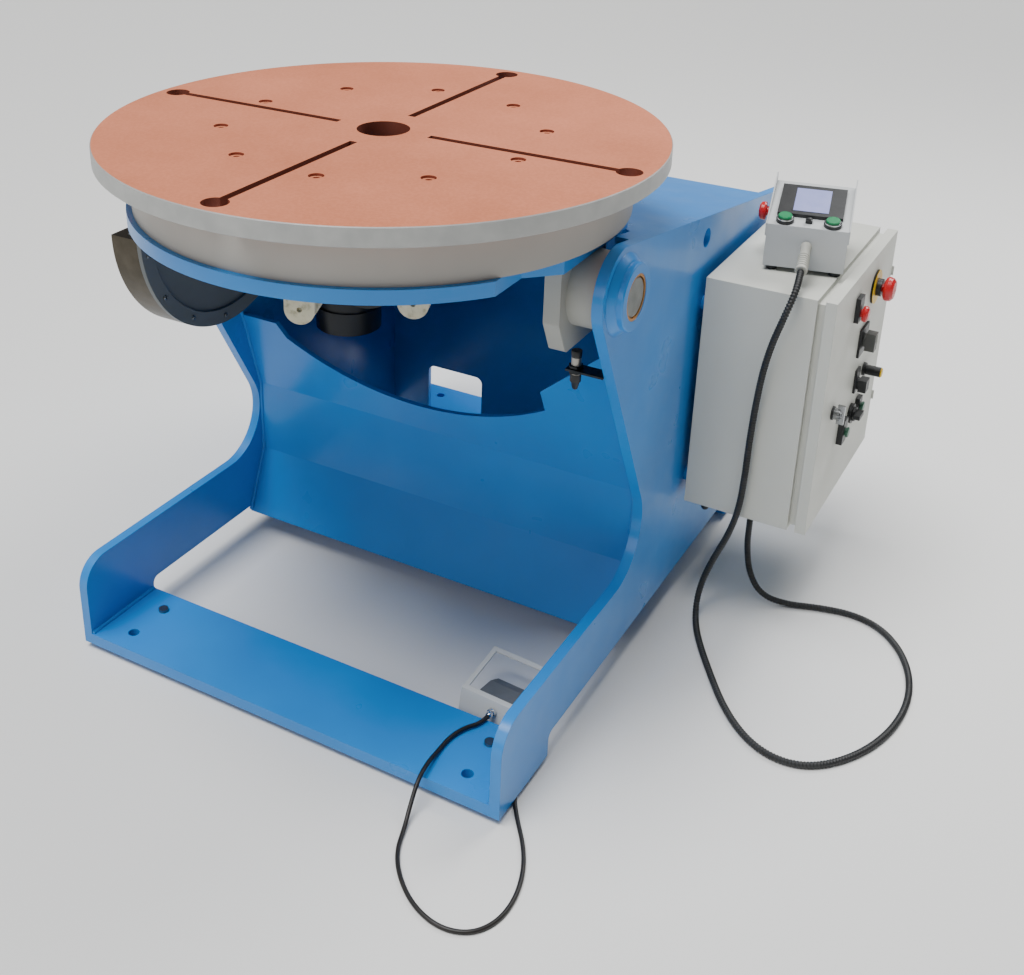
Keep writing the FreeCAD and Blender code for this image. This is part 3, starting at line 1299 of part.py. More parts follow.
NODES = []
NODES += build_frame()
NODES += build_trunnions()
NODES += [trunnion_bracket("right_trunnion_bracket", "bracket_right", 1),
          trunnion_bracket("left_trunnion_bracket", "bracket_left", -1), trunnion_shafts()]
NODES += [tilting_plate(), slewing_ring(), table_plate(), table_screws()]
NODES += [tilt_sector(), tilt_pinion(), table_ring_gear(), rotation_pinion()]
NODES += [guard_disc(), guard_band()]
NODES += tilt_drive() + rotation_drive() + [tilt_sensor()]
NODES += [enclosure(), standoffs(), door(), hinges()] + inside_of_box()
NODES += [device_bases()] + door_controls() + [glands()]
NODES += pendant() + pendant_controls()
doc.recompute()
NODES += [strain_relief()] + foot_pedal()
NODES += [cord("pedal_cord", PEDAL_CORD_POINTS, num("pedal_cord_dia")),
          cord("pendant_conduit", CONDUIT_POINTS, num("conduit_dia"))]

LABELS = {
    "mounting_panel_set": "mounting_panel", "pedal_base_set": "pedal_base",
    "pedal_gland_fit": "pedal_gland",
}
doc.recompute()


def write_parts():
    """Check every object and every sub-part's shape, then write one file for each sub-part."""
    os.makedirs("parts", exist_ok=True)
    for thing in doc.Objects:
        if "Invalid" in thing.State or "Error" in thing.State:
            raise RuntimeError("failed object: %s %s" % (thing.Name, thing.State))
    taken = {node.Name: LABELS.get(node.Name, node.Name) for node in NODES}
    for thing in doc.Objects:
        if thing.Label in taken.values() and thing.Name not in taken:
            thing.Label = thing.Label + "_blank"
    for node in NODES:
        node.Label = taken[node.Name]
        shape = node.Shape
        if shape.isNull() or not shape.isValid():
            raise RuntimeError("bad shape: " + node.Label)
        shape.exportStep("parts/%s.step" % node.Label)
    print("%d sub-parts written" % len(NODES))


write_parts()
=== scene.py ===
"""Looks of the welding positioner: paint, metal, plastic, cords and the small trim on them."""
import math

import bmesh
import bpy
from mathutils import Matrix, Vector


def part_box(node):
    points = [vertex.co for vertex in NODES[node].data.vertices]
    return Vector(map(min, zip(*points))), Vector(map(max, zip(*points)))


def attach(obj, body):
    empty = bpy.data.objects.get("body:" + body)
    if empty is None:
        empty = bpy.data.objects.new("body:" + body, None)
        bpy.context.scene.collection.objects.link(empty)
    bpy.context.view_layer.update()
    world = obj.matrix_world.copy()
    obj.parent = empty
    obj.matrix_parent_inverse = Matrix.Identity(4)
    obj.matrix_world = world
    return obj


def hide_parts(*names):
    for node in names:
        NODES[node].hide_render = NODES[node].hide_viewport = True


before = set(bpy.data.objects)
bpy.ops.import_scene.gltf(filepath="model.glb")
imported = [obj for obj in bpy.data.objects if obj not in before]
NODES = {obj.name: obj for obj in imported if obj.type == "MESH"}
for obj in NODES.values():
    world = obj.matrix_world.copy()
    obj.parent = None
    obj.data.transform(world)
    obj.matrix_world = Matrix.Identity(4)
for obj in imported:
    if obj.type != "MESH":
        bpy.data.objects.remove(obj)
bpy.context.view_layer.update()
MM = 0.001

# Axes and places of the machine, in millimetres and degrees, as the solids have them.
AXIS_Y, AXIS_Z = -268, 822
SWING_ANGLE = 20
SENSOR_X, SENSOR_FOOT, SENSOR_FACE = 391, 649, 701
SENSOR_NUTS = (669.3, 659.7)
BARREL_RADIUS = 10.5
LUG_FACE_REACH = 300.5
TABLE_RIM_RADIUS = 498.4
TURNING_PITCH = 1.6
GUARD_SCREW_CIRCLE = 225
CAP_SCREW_X, CAP_SCREW_YS = -405, (-490, -442)
FLOOR_LEVEL = -12
FOOT_TOP = 24.5
SIDE_SEAM_X = 446.5


# ---- colour and shader helpers ---------------------------------------------------------

def linear(code):
    """An sRGB hex value as linear red, green, blue and alpha."""
    channels = [int(code[i:i + 2], 16) / 255 for i in (1, 3, 5)]
    return tuple([c / 12.92 if c <= 0.04045 else ((c + 0.055) / 1.055) ** 2.4
                  for c in channels] + [1.0])


def add(tree, kind, links=None, **settings):
    """Add a node: settings are its own properties, links the values or outputs for its inputs."""
    made = tree.nodes.new("ShaderNode" + kind)
    for name, value in settings.items():
        setattr(made, name, value)
    for name, value in (links or {}).items():
        if isinstance(value, bpy.types.NodeSocket):
            tree.links.new(value, made.inputs[name])
        else:
            made.inputs[name].default_value = value
    return made


def new_finish(name, **shader):
    """A material with one surface shader; returns it, its tree, its shader and local places."""
    material = bpy.data.materials.new(name)
    material.use_nodes = True
    tree = material.node_tree
    tree.nodes.clear()
    place = add(tree, "TexCoord").outputs["Object"]
    surface = add(tree, "BsdfPrincipled", {k.replace("_", " "): v for k, v in shader.items()})
    add(tree, "OutputMaterial", {"Surface": surface.outputs["BSDF"]})
    return material, tree, surface, place


def feed(tree, surface, **outputs):
    for name, value in outputs.items():
        tree.links.new(value, surface.inputs[name.replace("_", " ")])


def grain(tree, place, size_mm, detail=2.0, stretch=(1, 1, 1)):
    """Noise whose blotches are about size_mm across, from 0 to 1."""
    mapped = add(tree, "Mapping", {"Vector": place, "Scale": stretch})
    return add(tree, "TexNoise", {"Vector": mapped.outputs["Vector"],
                                  "Scale": 1 / (size_mm * MM), "Detail": detail}).outputs["Fac"]


def spread(tree, factor, stops):
    """A ramp from (position, colour) stops; a plain number makes a grey."""
    ramp = add(tree, "ValToRGB", {"Fac": factor})
    line = ramp.color_ramp
    while len(line.elements) < len(stops):
        line.elements.new(0.5)
    for mark, (position, colour) in zip(line.elements, stops):
        mark.position = position
        mark.color = linear(colour) if isinstance(colour, str) else (colour,) * 3 + (1,)
    return ramp.outputs["Color"]


def relief(tree, height, depth_mm, strength=1.0, base=None):
    links = {"Height": height, "Distance": depth_mm * MM, "Strength": strength}
    if base is not None:
        links["Normal"] = base
    return add(tree, "Bump", links).outputs["Normal"]


# ---- finishes --------------------------------------------------------------------------

def sprayed_enamel(name, shades, roughness=0.32, peel_mm=7.0, coat=0.25):
    """Two-pack enamel sprayed on steel: an orange peel and slow changes of shade.

    Real peel has waves about 2 mm long; it is drawn coarser, so that it stays visible.
    """
    material, tree, surface, place = new_finish(
        name, Coat_Weight=coat, Coat_Roughness=0.18, Specular_IOR_Level=0.35)
    cloud = grain(tree, place, 260, 3)
    colour = spread(tree, cloud, [(0.3, shades[0]), (0.7, shades[1])])
    peel = grain(tree, place, peel_mm, 1)
    soft_edge = add(tree, "Bevel", {"Radius": 1.5 * MM}, samples=4).outputs["Normal"]
    feed(tree, surface, Base_Color=colour,
         Roughness=spread(tree, grain(tree, place, 90, 2),
                          [(0.3, roughness - 0.05), (0.7, roughness + 0.07)]),
         Normal=relief(tree, peel, 0.06, 0.3, soft_edge))
    return material


def coppery_table_steel():
    """Faced steel plate under a coppery film: turning rings, slot walls darkened as painted shade,
    a grey rim.
    """
    material, tree, surface, place = new_finish("faced_table_steel")
    centred = add(tree, "Mapping", {"Vector": place,
                                    "Location": (0, -AXIS_Y * MM, 0)}).outputs["Vector"]
    parts = add(tree, "SeparateXYZ", {"Vector": centred})
    flat = add(tree, "CombineXYZ", {"X": parts.outputs["X"], "Y": parts.outputs["Y"]})
    radius = add(tree, "VectorMath", {0: flat.outputs["Vector"]}, operation="LENGTH")
    rim = add(tree, "Math", {0: radius.outputs["Value"], 1: TABLE_RIM_RADIUS * MM},
              operation="GREATER_THAN")
    cloud = grain(tree, place, 190, 3)
    face = spread(tree, cloud, [(0.3, "#DE8763"), (0.72, "#EB9370")])
    fleck = spread(tree, grain(tree, place, 5, 2), [(0.42, "#D67E5A"), (0.6, "#EB9370")])
    mottled = add(tree, "MixRGB", {"Fac": 0.3, "Color1": face, "Color2": fleck})
    side = spread(tree, grain(tree, place, 40, 3), [(0.3, "#A2A3A1"), (0.7, "#B0B1AE")])
    # Steep faces (slot walls, countersinks) take a dark maroon: painted shade standing for the
    # shadow inside the cuts.
    upright = add(tree, "SeparateXYZ", {"Vector": add(tree, "TexCoord").outputs["Normal"]})
    level = add(tree, "Math", {0: upright.outputs["Z"]}, operation="ABSOLUTE")
    wall = add(tree, "Math", {0: level.outputs["Value"], 1: 0.5}, operation="LESS_THAN")
    painted_shade_slot_walls = add(tree, "MixRGB", {"Fac": wall.outputs["Value"],
                                     "Color1": mottled.outputs["Color"],
                                     "Color2": linear("#8A4A3A")})
    colour = add(tree, "MixRGB", {"Fac": rim.outputs["Value"],
                                  "Color1": painted_shade_slot_walls.outputs["Color"], "Color2": side})
    rings = add(tree, "Math", {0: radius.outputs["Value"], 1: 2 * math.pi / (TURNING_PITCH * MM)},
                operation="MULTIPLY")
    wave = add(tree, "Math", {0: rings.outputs["Value"]}, operation="SINE")
    metal = add(tree, "MapRange", {"Value": rim.outputs["Value"], "To Min": 0.3, "To Max": 0.1})
    feed(tree, surface, Base_Color=colour.outputs["Color"], Metallic=metal.outputs["Result"],
         Roughness=spread(tree, cloud, [(0.2, 0.42), (0.8, 0.52)]),
         Normal=relief(tree, wave.outputs["Value"], 0.012, 0.25))
    return material


def metal(name, shades, roughness, scratch_mm=(0.6, 0.6, 30), depth=0.01, metallic=1.0):
    """Bare metal with drawn or turned marks along one direction."""
    material, tree, surface, place = new_finish(name, Metallic=metallic)
    cloud = grain(tree, place, 35, 3)
    mapped = add(tree, "Mapping", {"Vector": place,
                                   "Scale": tuple(1 / (s * MM) for s in scratch_mm)})
    marks = add(tree, "TexNoise", {"Vector": mapped.outputs["Vector"], "Scale": 1.0,
                                   "Detail": 3.0}).outputs["Fac"]
    feed(tree, surface, Base_Color=spread(tree, cloud, [(0.3, shades[0]), (0.7, shades[1])]),
         Roughness=spread(tree, marks, [(0.3, roughness - 0.06), (0.7, roughness + 0.08)]),
         Normal=relief(tree, marks, depth, 0.4))
    return material


def moulded(name, shades, roughness=0.4, texture_mm=1.2, depth=0.02, **shader):
    """Moulded plastic or rubber: an even colour under a fine spark-eroded grain."""
    material, tree, surface, place = new_finish(name, **shader)
    cloud = grain(tree, place, 45, 2)
    feed(tree, surface, Base_Color=spread(tree, cloud, [(0.3, shades[0]), (0.7, shades[1])]),
         Roughness=spread(tree, grain(tree, place, 12, 2),
                          [(0.3, roughness - 0.05), (0.7, roughness + 0.07)]),
         Normal=relief(tree, grain(tree, place, texture_mm, 2), depth, 0.5))
    return material


def sensor_steel():
    """Stainless barrel of the sensor on a dark shelf, told apart by distance from its axis."""
    material, tree, surface, place = new_finish("sensor_and_shelf_steel", Metallic=0.9)
    centred = add(tree, "VectorMath", {0: place, 1: (SENSOR_X * MM, AXIS_Y * MM, 0)},
                  operation="SUBTRACT")
    parts = add(tree, "SeparateXYZ", {"Vector": centred.outputs["Vector"]})
    flat = add(tree, "CombineXYZ", {"X": parts.outputs["X"], "Y": parts.outputs["Y"]})
    radius = add(tree, "VectorMath", {0: flat.outputs["Vector"]}, operation="LENGTH")
    shelf = add(tree, "Math", {0: radius.outputs["Value"], 1: BARREL_RADIUS * MM},
                operation="GREATER_THAN")
    cloud = grain(tree, place, 20, 3)
    barrel = spread(tree, cloud, [(0.3, "#8D8A84"), (0.7, "#A5A29B")])
    dark = spread(tree, cloud, [(0.3, "#25282B"), (0.7, "#31353A")])
    colour = add(tree, "MixRGB", {"Fac": shelf.outputs["Value"], "Color1": barrel,
                                  "Color2": dark})
    feed(tree, surface, Base_Color=colour.outputs["Color"],
         Roughness=spread(tree, grain(tree, place, 8, 2), [(0.3, 0.3), (0.7, 0.42)]))
    return material


def cast_gearbox_enamel():
    """Gearbox casting: its two front lugs stay cream, the rest is darkened to near black as
    painted shade.
    """
    material, tree, surface, place = new_finish("cast_gearbox_enamel", Specular_IOR_Level=0.4)
    swing = math.radians(SWING_ANGLE)
    centred = add(tree, "VectorMath", {0: place, 1: (0, AXIS_Y * MM, 0)}, operation="SUBTRACT")
    ahead = add(tree, "VectorMath", {0: centred.outputs["Vector"],
                                     1: (math.sin(swing), -math.cos(swing), 0)},
                operation="DOT_PRODUCT")
    lug = add(tree, "Math", {0: ahead.outputs["Value"], 1: LUG_FACE_REACH * MM},
              operation="GREATER_THAN")
    stain = grain(tree, place, 14, 4)
    cream = spread(tree, stain, [(0.28, "#8E8768"), (0.45, "#C8C0A2"), (0.75, "#D6CFB4")])
    # Everything behind the lug faces takes a near-black colour: painted shade for the shadow the
    # gearbox body sits in.
    dark = spread(tree, stain, [(0.3, "#14181C"), (0.7, "#20262C")])
    colour = add(tree, "MixRGB", {"Fac": lug.outputs["Value"], "Color1": dark, "Color2": cream})
    feed(tree, surface, Base_Color=colour.outputs["Color"],
         Roughness=spread(tree, grain(tree, place, 20, 2), [(0.3, 0.45), (0.7, 0.65)]),
         Normal=relief(tree, grain(tree, place, 4, 3), 0.3, 0.5))
    return material


BLUE = sprayed_enamel("blue_machine_enamel", ("#207ECB", "#2588D7"))
TABLE = coppery_table_steel()
RING_GREY = sprayed_enamel("grey_primer_casting", ("#9A9A95", "#A8A8A3"), 0.5, 6.0, 0.0)
BRACKET_GREY = sprayed_enamel("grey_bracket_casting", ("#9E9E97", "#AEAEA6"), 0.55, 5.0, 0.0)
CREAM = cast_gearbox_enamel()
MOTOR = sprayed_enamel("black_motor_enamel", ("#131619", "#1B1F23"), 0.4, 6.0, 0.0)
GUARD_GREY = sprayed_enamel("slate_guard_enamel", ("#585C5C", "#656A6B"), 0.42, 6.0, 0.05)
ENCLOSURE = sprayed_enamel("light_grey_powder_coat", ("#CACBC3", "#D1D2C9"), 0.45, 5.0, 0.0)
STAINLESS = metal("brushed_stainless", ("#8D867B", "#A8A196"), 0.34)
GUARD_BAND = metal("rolled_guard_steel", ("#474238", "#585248"), 0.4)
SENSOR = sensor_steel()
BLACKENED = metal("blackened_steel", ("#2E3031", "#3C3E40"), 0.4)
TURNED = metal("turned_shaft_steel", ("#7C7D7A", "#929390"), 0.34, (40, 0.8, 0.8))
GEAR = metal("oiled_gear_steel", ("#6E7274", "#8A8E90"), 0.35)
BRONZE = metal("bush_bronze", ("#B07C46", "#C79258"), 0.35, (40, 0.8, 0.8))
WORN_CHROME = metal("worn_chrome", ("#7F8183", "#989A9C"), 0.22, (2, 2, 2), 0.002)
CHROME = metal("chrome_plate", ("#C8CACC", "#DADCDE"), 0.12, (2, 2, 2), 0.002)
BLACK = moulded("black_polyamide", ("#17181A", "#202224"), 0.42)
RUBBER = moulded("black_cable_jacket", ("#1A1B1C", "#252627"), 0.5)
CORD = moulded("brown_black_cord_jacket", ("#151210", "#1E1A17"), 0.45)
RED = moulded("red_polycarbonate", ("#B8161C", "#C71C22"), 0.28, 2.0, 0.005)
GREEN = moulded("green_polycarbonate", ("#0B7A48", "#0F8A55"), 0.3, 2.0, 0.005)
DARK_GREEN = moulded("dark_green_polycarbonate", ("#24543F", "#2B6149"), 0.35, 2.0, 0.005)
CHARCOAL = moulded("charcoal_polyamide", ("#474846", "#545552"), 0.45)
SLEEVE_GREY = moulded("grey_soft_sleeve", ("#A9A9A0", "#B8B8AF"), 0.55, 2.0, 0.03)
YELLOW = moulded("yellow_legend_plastic", ("#E0B400", "#EBC217"), 0.4)
PENDANT = sprayed_enamel("grey_pendant_enamel", ("#B9BCBD", "#C6C9CA"), 0.42, 5.0, 0.0)
SCREEN = moulded("dim_display_glass", ("#9AA0D6", "#A6ACDE"), 0.2, 3.0, 0.001)
PEDAL = sprayed_enamel("grey_pedal_enamel", ("#D0D2CF", "#DADCD9"), 0.42, 6.0, 0.0)
TREADLE = moulded("grey_treadle_rubber", ("#66696B", "#75787A"), 0.6, 2.0, 0.05)

DRESS = {
    "left_side_plate": BLUE, "right_side_plate": BLUE, "front_foot_plate": BLUE,
    "rear_foot_plate": BLUE, "front_web": BLUE, "top_plate": BLUE, "back_plate": BLUE,
    "enclosure_standoffs": BLUE, "trunnion_bosses": BLUE, "tilting_plate": BLUE,
    "levelling_screws": GEAR, "trunnion_bushes": BRONZE, "trunnion_shafts": TURNED,
    "right_trunnion_bracket": BRACKET_GREY, "left_trunnion_bracket": BRACKET_GREY,
    "slewing_outer_ring": RING_GREY, "table_plate": TABLE, "table_screws": TABLE,
    "tilt_sector_gear": GEAR, "tilt_pinion": GEAR, "table_ring_gear": GEAR,
    "rotation_pinion": GEAR, "gear_guard_disc": GUARD_GREY, "gear_guard_band": GUARD_BAND,
    "tilt_drive_bracket": BLUE, "tilt_gearbox": MOTOR, "tilt_motor": MOTOR,
    "rotation_gearbox": CREAM, "rotation_motor": MOTOR, "tilt_sensor": SENSOR,
    "enclosure_box": ENCLOSURE, "door_panel": ENCLOSURE, "door_hinges": CHROME,
    "mounting_panel": STAINLESS, "panel_devices": BLACK, "door_device_bases": BLACK,
    "door_stop_button": RED, "red_button": RED, "main_switch": CHARCOAL, "speed_knob": BLACK,
    "square_selector": BLACK, "lever_selector": BLACK, "upper_green_button": DARK_GREEN,
    "lower_green_button": DARK_GREEN, "door_lock": WORN_CHROME, "cable_glands": BLACK,
    "pendant_housing": PENDANT, "pendant_cheeks": PENDANT, "pendant_bezel": BLACK,
    "pendant_screen": SCREEN, "pendant_feet": BLACK, "pendant_left_button": GREEN,
    "pendant_right_button": GREEN, "pendant_stop_button": RED,
    "pendant_strain_relief": SLEEVE_GREY, "pedal_base": PEDAL, "pedal_treadle": TREADLE,
    "pedal_gland": CHROME,
}
for node, finish in DRESS.items():
    NODES[node].data.materials.clear()
    NODES[node].data.materials.append(finish)


# ---- making pieces ---------------------------------------------------------------------

def seat(spot, along):
    """A place at the spot, in millimetres, whose own height runs along the given direction."""
    turn = Vector(along).to_track_quat("Z", "Y").to_matrix().to_4x4()
    return Matrix.Translation(Vector(spot) * MM) @ turn


def lathe(bm, outline, place, sides=40):
    """Turn an outline of (radius, height) in millimetres about the place's own height."""
    rings = []
    for radius, height in outline:
        if radius == 0:
            rings.append([bm.verts.new(place @ Vector((0, 0, height * MM)))])
            continue
        rings.append([bm.verts.new(place @ Vector((
            radius * MM * math.cos(2 * math.pi * k / sides),
            radius * MM * math.sin(2 * math.pi * k / sides), height * MM)))
            for k in range(sides)])
    for lower, upper in zip(rings, rings[1:]):
        for k in range(sides):
            after = (k + 1) % sides
            corners = [lower[k % len(lower)], lower[after % len(lower)],
                       upper[after % len(upper)], upper[k % len(upper)]]
            bm.faces.new(list(dict.fromkeys(corners)))


def slab(bm, size, place, edge_mm=0.8, segments=2):
    """A block of the given size in millimetres, centred on the place, with eased edges."""
    made = bmesh.ops.create_cube(bm, size=1.0)["verts"]
    for vert in made:
        vert.co = place @ Vector([c * s * MM for c, s in zip(vert.co, size)])
    edges = list({edge for vert in made for edge in vert.link_edges})
    bmesh.ops.bevel(bm, geom=edges, offset=edge_mm * MM, segments=segments, affect="EDGES",
                    profile=0.5)


def tube(bm, line, radius_at, sides=14):
    """A closed tube along a line of points, its radius in millimetres given by the distance."""
    ahead = (line[1] - line[0]).normalized()
    across = ahead.orthogonal().normalized()
    done, rings = 0.0, []
    for index, spot in enumerate(line):
        nearby = line[min(index + 1, len(line) - 1)] - line[max(index - 1, 0)]
        ahead = nearby.normalized()
        across = (across - ahead * across.dot(ahead)).normalized()
        beside = ahead.cross(across)
        if index:
            done += (spot - line[index - 1]).length
        radius = radius_at(done / MM) * MM
        rings.append([bm.verts.new(spot + (across * math.cos(2 * math.pi * k / sides)
                                           + beside * math.sin(2 * math.pi * k / sides)) * radius)
                      for k in range(sides)])
    for lower, upper in zip(rings, rings[1:]):
        for k in range(sides):
            after = (k + 1) % sides
            bm.faces.new((lower[k], lower[after], upper[after], upper[k]))
    bm.faces.new(list(reversed(rings[0])))
    bm.faces.new(rings[-1])


def piece(name, bm, finish, body, crease=35):
    """Turn the collected mesh into one piece that rides a body."""
    bmesh.ops.remove_doubles(bm, verts=bm.verts, dist=0.005 * MM)
    bmesh.ops.recalc_face_normals(bm, faces=bm.faces)
    mesh = bpy.data.meshes.new(name)
    bm.to_mesh(mesh)
    bm.free()
    mesh.materials.append(finish)
    mesh.shade_smooth()
    mesh.set_sharp_from_angle(angle=math.radians(crease))
    thing = bpy.data.objects.new(name, mesh)
    bpy.context.scene.collection.objects.link(thing)
    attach(thing, body)
    return thing


def turned_pieces(name, outline, places, finish, body, sides=40):
    bm = bmesh.new()
    for place in places:
        lathe(bm, outline, place, sides)
    return piece(name, bm, finish, body)


def centre(node):
    low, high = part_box(node)
    return (low + high) / 2 / MM


def evenly(points, step):
    """The same line with points a fixed distance apart."""
    line, carried = [points[0]], 0.0
    for start, end in zip(points, points[1:]):
        run = (end - start).length
        while carried + run >= step:
            start = start + (end - start).normalized() * (step - carried)
            run = (end - start).length
            carried = 0.0
            line.append(start)
        carried += run
    if (line[-1] - points[-1]).length > step * 0.2:
        line.append(points[-1])
    return line


# ---- cords -----------------------------------------------------------------------------

PEDAL_CORD = [
    (343.1, -465.1, 30), (341.5, -488, 30.6), (323, -512, 31), (311, -547, 29.5),
    (311, -590, 29.5),
    (315, -630, 38), (321, -672, 37), (326, -706, 10), (336, -742, -7.9), (351, -791, -7.9),
    (383, -834, -7.9), (432, -872, -7.9), (487, -888, -7.9), (534, -874, -7.9),
    (560, -834, -7.9), (564, -780, -7.9), (550, -722, -7.9), (524, -672, -7.9),
    (490, -628, -7.9), (458, -580, -7.9), (438, -524, -7.9), (431, -464, -7.9),
    (429, -394, -7.9), (427, -310, -7.9), (423, -220, -7.9), (419, -120, -7.9),
    (414, -20, -7.9), (408, 60, -7.9), (398, 112, 8), (384, 146, 54), (374, 162, 120),
    (370, 168, 190), (370, 169, 245), (371, 169, 286), (381, 169, 312), (399, 169, 325),
    (420.4, 169, 325),
]
CONDUIT = [
    (648, 151, 760), (656.2, 107.8, 746.4), (656, 87.5, 729.5), (651, 76, 706), (644, 75, 680),
    (629, 82, 630), (617, 88, 566), (610, 93, 490), (606, 96, 410), (605, 97, 330), (601, 97, 255),
    (586, 97, 190), (562, 97, 128), (545, 94, 72), (541, 78, 24), (556, 40, -4.9),
    (588, -20, -4.9), (640, -100, -4.9), (686, -166, -4.9), (734, -218, -4.9),
    (780, -249, -4.9), (826, -260, -4.9), (872, -250, -4.9), (916, -212, -4.9),
    (956, -148, -4.9), (982, -66, -4.9), (988, 22, -4.9), (972, 104, -4.9),
    (936, 176, -4.9), (884, 228, -4.9), (822, 244, -4.9), (756, 230, -4.9),
    (694, 206, -4.9), (644, 192, 8), (614, 190, 52), (601, 194, 112), (600, 195, 160),
    (600, 195, 204.9),
]


def route(name, points, diameter_mm=0.0):
    """One smooth NURBS line through the cord's own points, in metres."""
    curve = bpy.data.curves.new(name, "CURVE")
    curve.dimensions = "3D"
    curve.resolution_u = 8
    curve.bevel_depth = diameter_mm / 2 * MM
    curve.bevel_resolution = 4
    curve.use_fill_caps = diameter_mm > 0
    spline = curve.splines.new("NURBS")
    spline.points.add(len(points) - 1)
    for spot, (x, y, z) in zip(spline.points, points):
        spot.co = (x * MM, y * MM, z * MM, 1)
    spline.order_u = 3
    spline.use_endpoint_u = True
    thing = bpy.data.objects.new(name, curve)
    bpy.context.scene.collection.objects.link(thing)
    return thing


pedal_cable = route("pedal_cable", PEDAL_CORD, 8)
pedal_cable.data.materials.append(CORD)
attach(pedal_cable, "base")
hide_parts("pedal_cord")


HOSE_RADIUS_MM, RIB_HALF_MM, RIB_PITCH_MM = 6.15, 0.85, 6.2


def corrugated_hose():
    """Corrugated conduit over its route: a rib every few millimetres, drawn a little coarse."""
    guide = route("hose_line", CONDUIT)
    guide.data.resolution_u = 24
    bpy.context.view_layer.update()
    traced = bpy.data.meshes.new_from_object(
        guide.evaluated_get(bpy.context.evaluated_depsgraph_get()))
    line = evenly([vert.co.copy() for vert in traced.vertices], 1.3 * MM)
    bpy.data.objects.remove(guide)
    bpy.data.meshes.remove(traced)
    bm = bmesh.new()
    tube(bm, line, lambda at: HOSE_RADIUS_MM
         + RIB_HALF_MM * math.cos(2 * math.pi * at / RIB_PITCH_MM), 14)
    hose = piece("pendant_hose", bm, RUBBER, "base", 80)
    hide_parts("pendant_conduit")


corrugated_hose()


# ---- pendant ---------------------------------------------------------------------------

PENDANT_CORNER = (559, 207, 734)
PENDANT_FRONT, PENDANT_SLOPE_ANGLE, PENDANT_TURN_ANGLE = 84, 11.3, 12
PENDANT_TURN = Matrix.Rotation(math.radians(PENDANT_TURN_ANGLE), 4, "Z")
PENDANT_SLOPE = Matrix.Rotation(math.radians(PENDANT_SLOPE_ANGLE), 4, "X")


def on_pendant_top(across, deep, up=0.0):
    """A place on the pendant's sloping top, from its front left corner."""
    origin = Vector(PENDANT_CORNER)
    rise = math.tan(math.radians(PENDANT_SLOPE_ANGLE))
    level = PENDANT_FRONT + deep * rise
    spot = origin + PENDANT_TURN @ Vector((across, deep, level))
    place = Matrix.Translation(spot * MM) @ PENDANT_TURN @ PENDANT_SLOPE
    return place @ Matrix.Translation((0, 0, up * MM))


def dress_pendant():
    spots = [on_pendant_top(31, 17), on_pendant_top(119, 17)]
    turned_pieces("pendant_button_collars",
                  [(13.5, 0.1), (16.6, 0.1), (16.8, 6.0), (16.0, 6.8), (13.5, 6.8), (13.5, 0.1)],
                  spots, BLACK, "base")
    turned_pieces("pendant_button_rings",
                  [(13.4, 6.9), (15.6, 6.9), (15.7, 9.0), (14.9, 10.0), (13.4, 10.0),
                   (13.4, 6.9)], spots, CHROME, "base")
    bm = bmesh.new()
    slab(bm, (13, 11, 7), on_pendant_top(75, 20, 3.6), 1.0)
    slab(bm, (8, 7, 3), on_pendant_top(75, 20, 8.4), 0.8)
    piece("pendant_rocker", bm, BLACK, "base")
    stop = centre("pendant_stop_button")
    left = PENDANT_TURN @ Vector((-1, 0, 0))
    cheek_face = stop - left * 6.5
    turned_pieces("pendant_stop_collar",
                  [(7.3, -4.8), (15, -4.8), (15, -3.4), (12.5, -2.9), (7.3, -2.9), (7.3, -4.8)],
                  [seat(cheek_face, left)], BLACK, "base")
    start, end = Vector((634.5, 222.0, 782.7)), Vector(CONDUIT[0])
    sleeve = [(0, 0), (9.6, 0), (10.4, 1.2), (10.4, 7), (9.4, 9.5), (9.6, 30)]
    for k in range(6):
        foot = 33 + 6.4 * k
        sleeve += [(9.7 + 0.12 * k, foot), (11.0 + 0.12 * k, foot + 0.8),
                   (11.0 + 0.12 * k, foot + 3.2), (9.7 + 0.12 * k, foot + 4.0)]
    sleeve += [(10.4, 72), (11.6, 73.2), (11.6, 77), (10.4, 78.4), (7.2, 78.4), (0, 78.4)]
    relief_sleeve = turned_pieces("pendant_relief_sleeve", sleeve, [seat(start, end - start)],
                                  SLEEVE_GREY, "base")
    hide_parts("pendant_strain_relief")


dress_pendant()


# ---- control door ----------------------------------------------------------------------

LEGEND_BACK = 2     # the legend's seat, behind the door's hinge leaves


def dress_door():
    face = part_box("door_panel")[1].x / MM - LEGEND_BACK
    stop, speed, switch = (centre(n) for n in ("door_stop_button", "speed_knob", "main_switch"))
    turned_pieces("door_stop_legend",
                  [(18.4, 2.05), (34.6, 2.05), (35.2, 2.6), (34.6, 3.2), (18.4, 3.2),
                   (18.4, 2.05)], [seat((face, stop.y, stop.z), (1, 0, 0))],
                  YELLOW, "door", 56)
    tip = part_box("speed_knob")[1].x / MM
    turned_pieces("speed_knob_cap", [(0, -1), (9.6, -1), (9.8, 0.4), (9.0, 1.4), (0, 1.6)],
                  [seat((tip, speed.y, speed.z), (1, 0, 0))], YELLOW, "speed_knob")
    bm = bmesh.new()
    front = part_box("main_switch")[1].x / MM
    slab(bm, (1.2, 2.4, 17), seat((front + 0.3, switch.y, switch.z + 8), (0, 0, 1)), 0.3, 1)
    piece("main_switch_pointer", bm, SLEEVE_GREY, "main_switch")


dress_door()


# ---- gear guard, sensor and seams ------------------------------------------------------

SCREW = [(0, 0.1), (4.6, 0.1), (4.8, 1.2), (4.4, 2.6), (3.4, 3.3), (2.2, 3.4), (2.1, 2.0),
         (0, 1.8)]


